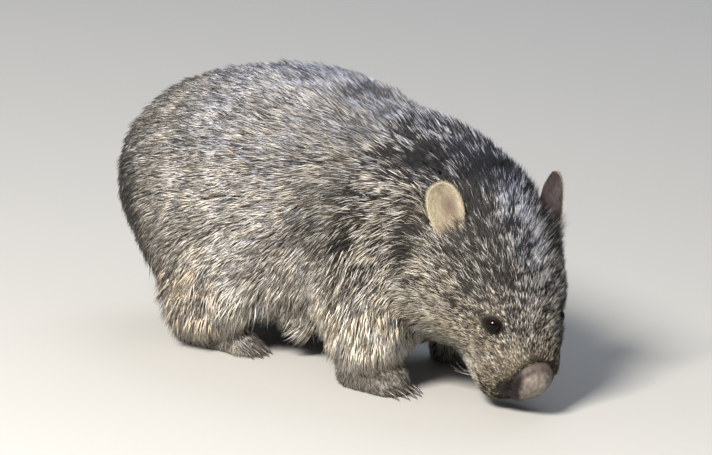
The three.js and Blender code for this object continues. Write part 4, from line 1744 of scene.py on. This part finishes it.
@dataclass
class NosePad:
    """The bare leathery nose with its nostrils. Its places are along the head's own axes."""

    voxel: float = 0.0013
    swell: float = 0.0003
    # Where the piece is cut off behind the nose, and how it sinks into the skin there.
    cut: float = 0.144
    cut_sink: float = 0.009
    shoulder: float = 0.014
    proud: float = 0.0006
    sunk: float = 0.0035
    rounds: int = 10
    last_rounds: int = 2
    body: Triple = (0.0139, 0.0225, 0.0158)
    middle: Triple = (0.178, 0.0, 0.008)
    radii: Triple = (0.0255, 0.0300, 0.0315)
    wing: Triple = (0.174, 0.029, -0.004)
    wing_radii: Triple = (0.0115, 0.0095, 0.0125)
    hollows: tuple[Hollow, ...] = (
        Hollow((0.1775, 0.0272, -0.003), (0.0070, 0.0050, 0.0048), 0.0070),
        Hollow((0.1730, 0.0305, 0.0045), (0.0060, 0.0055, 0.0035), 0.0055),
        Hollow((0.190, 0.0, -0.010), (0.018, 0.0017, 0.016), 0.0018, 0.3),
    )
    hollow_sharpness: float = 1.2
    # Where bareness, the pad's paleness, the painted shade on its lower part and the dark wings
    # fade out.
    bare_fade: tuple[float, float] = (0.93, 1.05)
    pad_fade: tuple[float, float] = (0.5, 0.85)
    low_shade_fade: tuple[float, float] = (-0.007, 0.002)
    wing_fade: tuple[float, float] = (0.0172, 0.0212)
    # How wide the front is, as a share, and where the nose starts to narrow and has done so.
    squeeze: float = 0.88
    squeezed: tuple[float, float] = (0.155, 0.17)
    # The grain's height, and the waves per metre of grain and blotches and the finer one's share.
    grain: float = 0.0011
    grain_waves: Triple = (170, 420, 0.6)
    blotches: float = 0.45
    blotch_waves: Triple = (230, 610, 0.7)
    pale: Triple = (0.215, 0.188, 0.157)
    dusky_and_shade: Triple = (0.075, 0.048, 0.042)
    dark: Triple = (0.012, 0.006, 0.007)

    def bareness(self, points: np.ndarray) -> np.ndarray:
        """How bare the skin is: 1 on the nose pad and by the nostrils, 0 where hair grows.

        Args:
            points: Places on the body, one row each.

        Returns:
            The bareness of each.
        """
        local = in_head(points)
        far = np.linalg.norm((local - self.middle) / self.radii, axis=1)
        for side in SIDES.values():
            apart = (local * (1, side, 1) - self.wing) / self.wing_radii
            far = np.minimum(far, np.linalg.norm(apart, axis=1))
        return ramp(far, *self.bare_fade, 1.0, 0.0)

    def blank(self) -> Object:
        """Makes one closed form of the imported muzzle, jaw and nose pad, cut off behind.

        Returns:
            The form.
        """
        piece = copy_of("Nose_pad", ("head", "lower_jaw", "nose_pad"), self.swell)
        place = Matrix.Translation(middle_of("nose_pad")) @ head_pose.to_3x3().to_4x4()
        form = place @ Matrix.Diagonal((*self.body, 1))
        with editing(piece) as shape:
            bmesh.ops.create_uvsphere(
                shape, u_segments=48, v_segments=32, radius=1.0, matrix=form
            )
            bmesh.ops.bisect_plane(
                shape,
                geom=shape.verts[:] + shape.edges[:] + shape.faces[:],
                plane_co=head_point((self.cut, 0, 0)),
                plane_no=head_direction((1, 0, 0)),
                clear_inner=True,
            )
            rim = [edge for edge in shape.edges if edge.is_boundary]
            bmesh.ops.holes_fill(shape, edges=rim)
        remesh(piece, self.voxel)
        keep_largest(piece)
        return piece

    def build(self) -> None:
        """Builds the nose: narrowed, grained, with its hollows and its colours."""
        piece = self.blank()
        edges = edges_of(piece.data)
        ahead, sideways = (np.array(head_direction(way)) for way in ((1, 0, 0), (0, 1, 0)))
        points = relaxed(points_of(piece.data), edges, self.rounds)
        local = in_head(points)
        narrower = ramp(local[:, 0], *self.squeezed, 0.0, self.squeeze - 1)
        points = points + sideways * (local[:, 1] * narrower)[:, None]
        set_points(piece.data, points)
        local, bare = in_head(points), self.bareness(points)
        by_cut = ramp(local[:, 0], self.cut, self.cut + self.shoulder, 1.0, 0.0)
        normals = normals_of(piece.data)
        normals = normals - ahead * ((normals @ ahead) * np.minimum(by_cut * 2, 1))[:, None]
        risen = self.proud + speckle(local, *self.grain_waves) * self.grain
        moved = bare * risen - (1 - bare) * self.sunk - by_cut * self.cut_sink
        # How much painted shade each point gets in the hollows.
        pit_shade = np.zeros(len(points))
        for hollow in self.hollows:
            for side in sides_of(hollow.place):
                apart = (local * (1, side, 1) - hollow.place) / hollow.radii
                near = np.exp(-(apart**2).sum(axis=1) * self.hollow_sharpness)
                moved -= near * hollow.depth
                pit_shade = np.maximum(pit_shade, near * hollow.painted_shade)
        moved_points = points + normals * moved[:, None]
        set_points(piece.data, relaxed(moved_points, edges, self.last_rounds))
        piece.data.shade_smooth()
        paint(piece.data, self.colours(local, pit_shade))
        dress(piece, NOSE_FINISH, Slot.NOSE, ("nose_pad",))

    def colours(self, local: np.ndarray, pit_shade: np.ndarray) -> np.ndarray:
        """The nose's colours: pale on the pad, darker at its edge and as painted shade on its lower
        part, dark by the nostrils, and darkest in their hollows as painted shade.

        Args:
            local: Places along the head's own axes.
            pit_shade: How deep each is in a hollow, which sets the painted shade there.

        Returns:
            Linear red, green and blue, one row each.
        """
        aside, height = np.abs(local[:, 1]), local[:, 2]
        far = np.linalg.norm((local - self.middle) / self.radii, axis=1)
        edge = ramp(far, *self.pad_fade)
        # Darker towards the lower part of the pad: painted shade.
        low = ramp(height - 0.9 * (aside - 0.018), *self.low_shade_fade, 1.0, 0.0)
        wing = ramp(aside + 0.45 * np.maximum(0.008 - height, 0), *self.wing_fade)
        blotches = speckle(local, *self.blotch_waves)[:, None]
        shades = np.array(self.pale) * (1 + self.blotches * blotches)
        dusky_and_shade = ((edge * 0.75, self.dusky_and_shade), (low * 0.8, self.dusky_and_shade))
        # Darkest in the nostrils' hollows: painted shade.
        return layered(shades, (*dusky_and_shade, (wing, self.dark), (pit_shade * 1.3, self.dark)))


# Ears.


@dataclass(frozen=True)
class EarPlace:
    """Where an ear's root is, which way it rises and which way its cup faces, in the head."""

    root: Triple
    rise: Triple
    face: Triple


EAR_PLACES = {
    "right": EarPlace((-0.003, -0.069, 0.038), (-0.91, -0.16, 0.38), (0.3, -0.62, 0.7)),
    "left": EarPlace((0.0, 0.062, 0.036), (-0.9, 0.12, 0.36), (0.0, 0.95, 0.12)),
}


@dataclass
class Ear:
    """One ear: a thin soft cup that rises from the head, with velvety hair on both sides."""

    side: str
    middle: float = 0.0245
    half_length: float = 0.0330
    half_width: float = 0.0186
    taper: float = 0.1
    rim: float = 0.0062
    depth: float = 0.0150
    wall: float = 0.0022
    segments: int = 56
    rings: tuple[float, ...] = (0.12, 0.3, 0.48, 0.64, 0.78, 0.89, 0.96, 1.0)
    # How far the outer corner stands out, and the height, place and width of each long fold.
    corner: float = 0.14
    folds: tuple[Triple, ...] = ((0.0016, 0.38, 0.14), (0.00112, -0.3, 0.12))
    # The room that root and cup take from the coat, and the long hair in front of the root.
    root_radii: Triple = (0.011, 0.008, 0.016)
    cup_half_width: float = 0.02
    cup_reach: tuple[float, float] = (0.003, 0.055)
    cup_floor: float = 0.004
    cup_fade: float = 0.016
    forelock: Triple = (0.022, 0.012, 0.03)
    forelock_place: float = -0.007
    forelock_share: float = 0.5
    seed: int = 3
    hair_length: float = 0.0038
    hair_width: float = 0.00055
    hair_spacing: float = 0.00085
    hair_sink: float = 0.0003
    hair_untidy: float = 0.25
    hair_lift: tuple[float, float] = (8, 30)
    hair_spread: tuple[float, float] = (0.6, 1.3)
    hair_shades: tuple[float, float] = (0.75, 1.2)
    cream: Triple = (0.52, 0.46, 0.335)
    tan: Triple = (0.36, 0.28, 0.18)
    # A pinkish painted shade deep in the cup; the dark outside is its own dark brown, deepened as
    # painted shade.
    pink_shade: Triple = (0.15, 0.09, 0.07)
    dark: Triple = (0.055, 0.038, 0.038)
    skin_shade: float = 0.8
    streaks: float = 0.3
    streak_waves: tuple[float, float] = (900, 120)

    def pose(self) -> Matrix:
        """The ear's own axes: +Y from its root to its tip and +Z out of its cup.

        Returns:
            The axes and the ear's root.
        """
        place = EAR_PLACES[self.side]
        rise = head_direction(place.rise)
        out = head_direction(place.face)
        out = (out - rise * out.dot(rise)).normalized()
        turn = Matrix((rise.cross(out), rise, out)).transposed().to_4x4()
        return Matrix.Translation(head_point(place.root)) @ turn

    def nearness(self, points: np.ndarray) -> np.ndarray:
        """How much room there is for hair.

        Args:
            points: Places on the body, one row each.

        Returns:
            For each, less than 1 in the ear's root, 1 to 2 under its cup, 2 elsewhere, and
            more in front of the root, where the hair is long and hides it.
        """
        across, along, out = seen_from(self.pose(), points).T
        local = np.stack([across, along, out], axis=1)
        at_root = np.linalg.norm(local / self.root_radii, axis=1)
        under = (np.abs(across) < self.cup_half_width) & (out < self.cup_floor)
        under &= (along > self.cup_reach[0]) & (along < self.cup_reach[1])
        room = 1 + np.clip((-self.depth - out) / self.cup_fade, 0.1, 1)
        apart = (local - (0, self.forelock_place, 0)) / self.forelock
        elsewhere = 2.0 + self.forelock_share * np.exp(-(apart**2).sum(axis=1))
        return np.where(at_root < 1, 0.5, np.where(under, room, elsewhere))

    def build(self) -> None:
        """Builds the ear with its hair."""
        shape = bmesh.new()
        loops = [add_loop(shape, self.segments, partial(self.surface, ring)) for ring in self.rings]
        bmesh.ops.contextual_create(shape, geom=loops[0])
        for first, second in zip(loops, loops[1:]):
            bmesh.ops.bridge_loops(shape, edges=first + second)
        shape.normal_update()
        inverted = [part for part in shape.faces if part.normal.z < 0]
        bmesh.ops.reverse_faces(shape, faces=inverted)
        bmesh.ops.transform(shape, matrix=self.pose(), verts=shape.verts)
        piece = new_object("Ear_" + self.side, mesh_from("Ear_" + self.side, shape))
        wall = piece.modifiers.new("Solidify", "SOLIDIFY")
        wall.thickness = self.wall
        wall.offset = -1
        add_subdivision(piece)
        apply_modifiers(piece)
        mesh = piece.data
        mesh.shade_smooth()
        paint(mesh, self.colours(points_of(mesh), normals_of(mesh)) * self.skin_shade)
        self.hair(mesh)
        dress(piece, EAR_FINISH, Slot.EAR, ("ear_" + self.side,))

    def surface(self, ring: float, point: Vector) -> Vector:
        """A point of the cup's inner side.

        Args:
            ring: How far out it is, from 0 to 1 at the rim.
            point: Which way it is from the cup's middle, on a circle of radius 1.

        Returns:
            The point in the ear's own axes.
        """
        across, along = point.x * ring, point.y * ring
        turned = math.atan2(along, -across) - 0.9
        corner = 1 + self.corner * ring**2 * math.exp(-(turned**2) / 0.25)
        x = self.half_width * across * (1 + self.taper * along) * corner
        y = self.middle + self.half_length * along * (0.93 + 0.07 * corner)
        z = self.rim - self.depth * (1 - ring**2.2)
        for height, place, width in self.folds:
            z += height * math.exp(-(((across - place) / width) ** 2)) * (1 - ring**3)
        z -= 0.5 * max(0.003 - y, 0)
        return Vector((x, y, z))

    def colours(self, points: np.ndarray, normals: np.ndarray) -> np.ndarray:
        """The ear's colours: cream inside, a pinkish painted shade deep in its middle, tan at its
        root, and dark outside, its own dark brown deepened as painted shade.

        Args:
            points: Places on the ear.
            normals: Which way the surface faces there.

        Returns:
            Linear red, green and blue, one row each.
        """
        pose = self.pose()
        local = seen_from(pose, points)
        inside = ramp(normals @ np.array(pose.to_3x3())[:, 2], -0.15, 0.25)
        # A pinkish painted shade deep in the middle of the cup.
        apart = (local[:, :2] - (0.003, 0.026)) / (0.0105, 0.018)
        middle = np.exp(-(apart**2).sum(axis=1)) * inside
        root = ramp(local[:, 1], 0.002, 0.02, 0.9, 0.0) * inside
        wide, long = self.streak_waves
        streaks = [noise.noise(Vector((place[0] * wide, place[1] * long, 0))) for place in local]
        # Dark outside: the back's own dark brown, deepened as painted shade.
        shades = np.tile(np.array(self.dark), (len(points), 1))
        layers = ((inside, self.cream), (root, self.tan), (middle * 0.85, self.pink_shade))
        return layered(shades, layers) * (1 + self.streaks * np.array(streaks)[:, None])

    def hair(self, mesh: Mesh) -> None:
        """Covers the ear with short fine hair that lies towards its tip.

        Args:
            mesh: The ear's mesh.
        """
        rng = np.random.default_rng(self.seed)
        triangles = triangles_of(mesh)
        spacing = np.full(len(triangles), self.hair_spacing)
        roots = spread_roots(mesh, triangles, spacing, rng)
        count, up = len(roots.places), roots.facings
        pose = np.array(self.pose().to_3x3())
        aside = seen_from(self.pose(), roots.places)[:, :1] / self.half_width
        lies = np.tile(pose[:, 1], (count, 1)) + pose[:, 0] * aside * 0.8
        lies = along_skin(lies + rng.normal(0, self.hair_untidy, (count, 3)), up)
        steep = np.radians(rng.uniform(*self.hair_lift, (count, 1)))
        length = self.hair_length * rng.uniform(*self.hair_spread, (count, 1))
        root = roots.places - up * self.hair_sink
        tip = root + (lies * np.cos(steep) + up * np.sin(steep)) * length
        ring = root_rings(np.cross(up, lies), up, rng) * self.hair_width / 2
        grown = np.concatenate([root[:, None, :] + ring, tip[:, None, :]], axis=1)
        shade = rng.uniform(*self.hair_shades, (count, 1))
        base = self.colours(roots.places, roots.facings) * shade
        colours = np.stack([base * 0.85] * 3 + [base * 1.1], axis=1)
        hairs = Tufts().mesh("Ear_hair_" + self.side, grown, colours, roots.patches)
        dress(new_object(hairs.name, hairs), COAT_FINISH, Slot.EAR)


# Claws.


@dataclass
class Claws:
    """The claws of all feet, each a tapered horn in its packed claw's place."""

    segments: int = 14
    steps: int = 8
    # The tip's radius, the root's height, the swell in the middle and the height of the
    # cross-section, as shares of the root's radius.
    tip: float = 0.16
    root_height: float = 0.8
    swell: float = 0.25
    flatness: float = 0.85

    def build(self) -> None:
        """Builds one piece for each packed claw."""
        for node in sorted(name for name in frame["nodes"] if name.startswith("claw_")):
            low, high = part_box(node)
            length, radius = high.x - low.x, (high.y - low.y) / 2
            shape = bmesh.new()
            add_cone(shape, self.segments, radius, radius * self.tip, length, self.steps)
            start = Vector((low.x, (low.y + high.y) / 2, high.z - radius * self.root_height))
            drop = high.z - low.z - radius
            for vert in shape.verts:
                share = vert.co.z / length + 0.5
                swell = 1 + self.swell * math.sin(math.pi * share)
                y, z = vert.co.y * swell, vert.co.x * swell * self.flatness
                vert.co = start + Vector((share * length, y, z - drop * share * share))
            piece = object_from("horn_" + node.removeprefix("claw_"), shape)
            dress(piece, CLAW_FINISH, Slot.CLAW, (node,))


# Whiskers.


@dataclass
class Whiskers:
    """Pale whiskers on both sides of the muzzle."""

    count: int = 10
    length: float = 0.034
    radius: float = 0.00022
    tip: float = 0.12
    segments: int = 4
    cuts: int = 7
    root_sink: float = 0.002
    floor_clearance: float = 0.0012
    seed: int = 5
    # Where whiskers start in the head: how far ahead, how high, and how far each varies.
    ahead: float = 0.115
    ahead_spread: float = 0.045
    height: float = -0.03
    height_spread: float = 0.035
    lengths: tuple[float, float] = (0.6, 1.15)

    def build(self, skin: Object) -> None:
        """Builds all whiskers as one piece.

        Args:
            skin: The skin that they grow from.
        """
        rng = np.random.default_rng(self.seed)
        shape = bmesh.new()
        bpy.context.view_layer.update()
        for side in SIDES.values():
            for number in range(self.count):
                share = (number + 0.5) / self.count
                ahead = self.ahead + self.ahead_spread * rng.random()
                start = head_point((ahead, 0, self.height + self.height_spread * rng.random()))
                ray = head_direction((0.2 - 0.5 * share, side, rng.uniform(-0.35, 0.1)))
                hit, place, normal, _ = skin.ray_cast(start, ray)
                if not hit:
                    continue
                back = -0.3 - 0.5 * rng.random()
                lie = head_direction((back, side * 0.8, rng.uniform(-0.5, 0.3)))
                reach = self.length * rng.uniform(*self.lengths)
                self.whisker(shape, Vector(place), lie, Vector(normal), reach)
        dress(object_from("Whiskers", shape), WHISKER_FINISH, Slot.COAT)

    def whisker(self, shape: BMesh, root: Vector, lie: Vector, out: Vector, reach: float) -> None:
        """Adds one whisker, which leaves the skin and bends back.

        Args:
            shape: The bmesh that gets it.
            root: Where it leaves the skin.
            lie: The way its tip points.
            out: The skin's own facing.
            reach: The whisker's length.
        """
        hair = bmesh.new()
        add_cone(hair, self.segments, 1.0, self.tip, 1.0, self.cuts)
        start = (out + lie * 0.4).normalized()
        across = start.cross(lie).normalized()
        upright = across.cross(lie).normalized()
        for vert in hair.verts:
            share = vert.co.z + 0.5
            way = start.lerp(lie, share * 0.8)
            spine = root - out * self.root_sink + way * (share * reach)
            spine.z = max(spine.z, self.floor_clearance)
            vert.co = spine + (across * vert.co.x + upright * vert.co.y) * self.radius
        add_to(shape, hair)


# Studio.


@dataclass(frozen=True)
class Lamp:
    """A soft square light that faces the animal.

    Args:
        name: What it is called.
        azimuth: Where it stands round the animal, in degrees.
        elevation: How high it stands, in degrees.
        size: The length of its sides, in metres.
        power: In watts.
        colour: Linear red, green and blue.
    """

    name: str
    azimuth: float
    elevation: float
    size: float
    power: float
    colour: Triple


@dataclass
class Studio:
    """A plain pale floor, soft lights, and the camera."""

    azimuth: float = 35.0
    elevation: float = 13.0
    roll: float = 5.0
    distance: float = 5.0
    view_width: float = 0.819
    target: Triple = (0.00854, 0.0, 0.152)
    sensor: float = 36.0
    view_end: float = 100.0
    light_distance: float = 4.5
    floor_radius: float = 9.0
    sky_colour: tuple[float, ...] = (0.86, 0.9, 1.0, 1.0)
    sky_strength: float = 0.24
    lamps: tuple[Lamp, ...] = (
        Lamp("Key", 8, 38, 1.2, 420, (1.0, 0.96, 0.9)),
        Lamp("Fill", -40, 30, 4.0, 14, (0.85, 0.92, 1.0)),
        Lamp("Back", 205, 50, 2.8, 60, (0.8, 0.88, 1.0)),
    )

    def back(self, azimuth: float, elevation: float) -> Vector:
        """The direction from the animal to a place round it."""
        a, e = math.radians(azimuth), math.radians(elevation)
        return Vector((math.sin(a) * math.cos(e), -math.cos(a) * math.cos(e), math.sin(e)))

    def place(self, thing: Object, back: Vector, distance: float, roll: float = 0.0) -> None:
        """Puts a camera or light in the scene, so that it faces the animal.

        Args:
            thing: The camera or light.
            back: The direction from the animal to it.
            distance: How far away it is.
            roll: How far it is turned round its own view, in degrees.
        """
        turn = (-back).to_track_quat("-Z", "Y").to_matrix()
        turn = turn @ Matrix.Rotation(math.radians(roll), 3, "Z")
        spot = Matrix.Translation(Vector(self.target) + back * distance)
        thing.matrix_world = spot @ turn.to_4x4()
        bpy.context.scene.collection.objects.link(thing)

    def camera(self) -> None:
        """Sets the camera up at the photograph's angle."""
        data = bpy.data.cameras.new("Camera")
        data.sensor_width = self.sensor
        data.lens = self.sensor * self.distance / self.view_width
        data.dof.use_dof = False
        data.clip_end = self.view_end
        camera = bpy.data.objects.new("Camera", data)
        self.place(camera, self.back(self.azimuth, self.elevation), self.distance, self.roll)
        bpy.context.scene.camera = camera

    def light(self, lamp: Lamp) -> None:
        """Adds one soft light.

        Args:
            lamp: What it is like.
        """
        data = bpy.data.lights.new(lamp.name, "AREA")
        data.size = lamp.size
        data.energy = lamp.power
        data.color = lamp.colour
        thing = bpy.data.objects.new(lamp.name, data)
        self.place(thing, self.back(lamp.azimuth, lamp.elevation), self.light_distance)

    def build(self) -> None:
        """Builds the floor, the lights and the pale surroundings."""
        shape = bmesh.new()
        bmesh.ops.create_circle(shape, cap_ends=True, segments=96, radius=self.floor_radius)
        floor = object_from("Floor", shape)
        floor.data.materials.append(FLOOR_FINISH.material())
        world = bpy.data.worlds.new("Surroundings")
        world.use_nodes = True
        sky = world.node_tree.nodes["Background"]
        set_sockets(sky, Color=self.sky_colour, Strength=self.sky_strength)
        bpy.context.scene.world = world
        for lamp in self.lamps:
            self.light(lamp)
        bpy.context.scene.view_settings.view_transform = "Standard"


def main() -> None:
    """Builds the whole animal and its studio."""
    logging.basicConfig(level=logging.INFO, format="%(message)s", stream=sys.stdout)
    studio = Studio()
    studio.camera()
    plan, markings = CoatPlan(), Markings()
    skin = Skin(plan, markings).build()
    Coat(plan, markings).build(skin)
    for side in SIDES:
        eye = Eye(side)
        eye.ball()
        eye.lids()
    NosePad().build()
    for side in SIDES:
        Ear(side).build()
    Claws().build()
    Whiskers().build(skin)
    studio.build()


if __name__ == "__main__":
    main()
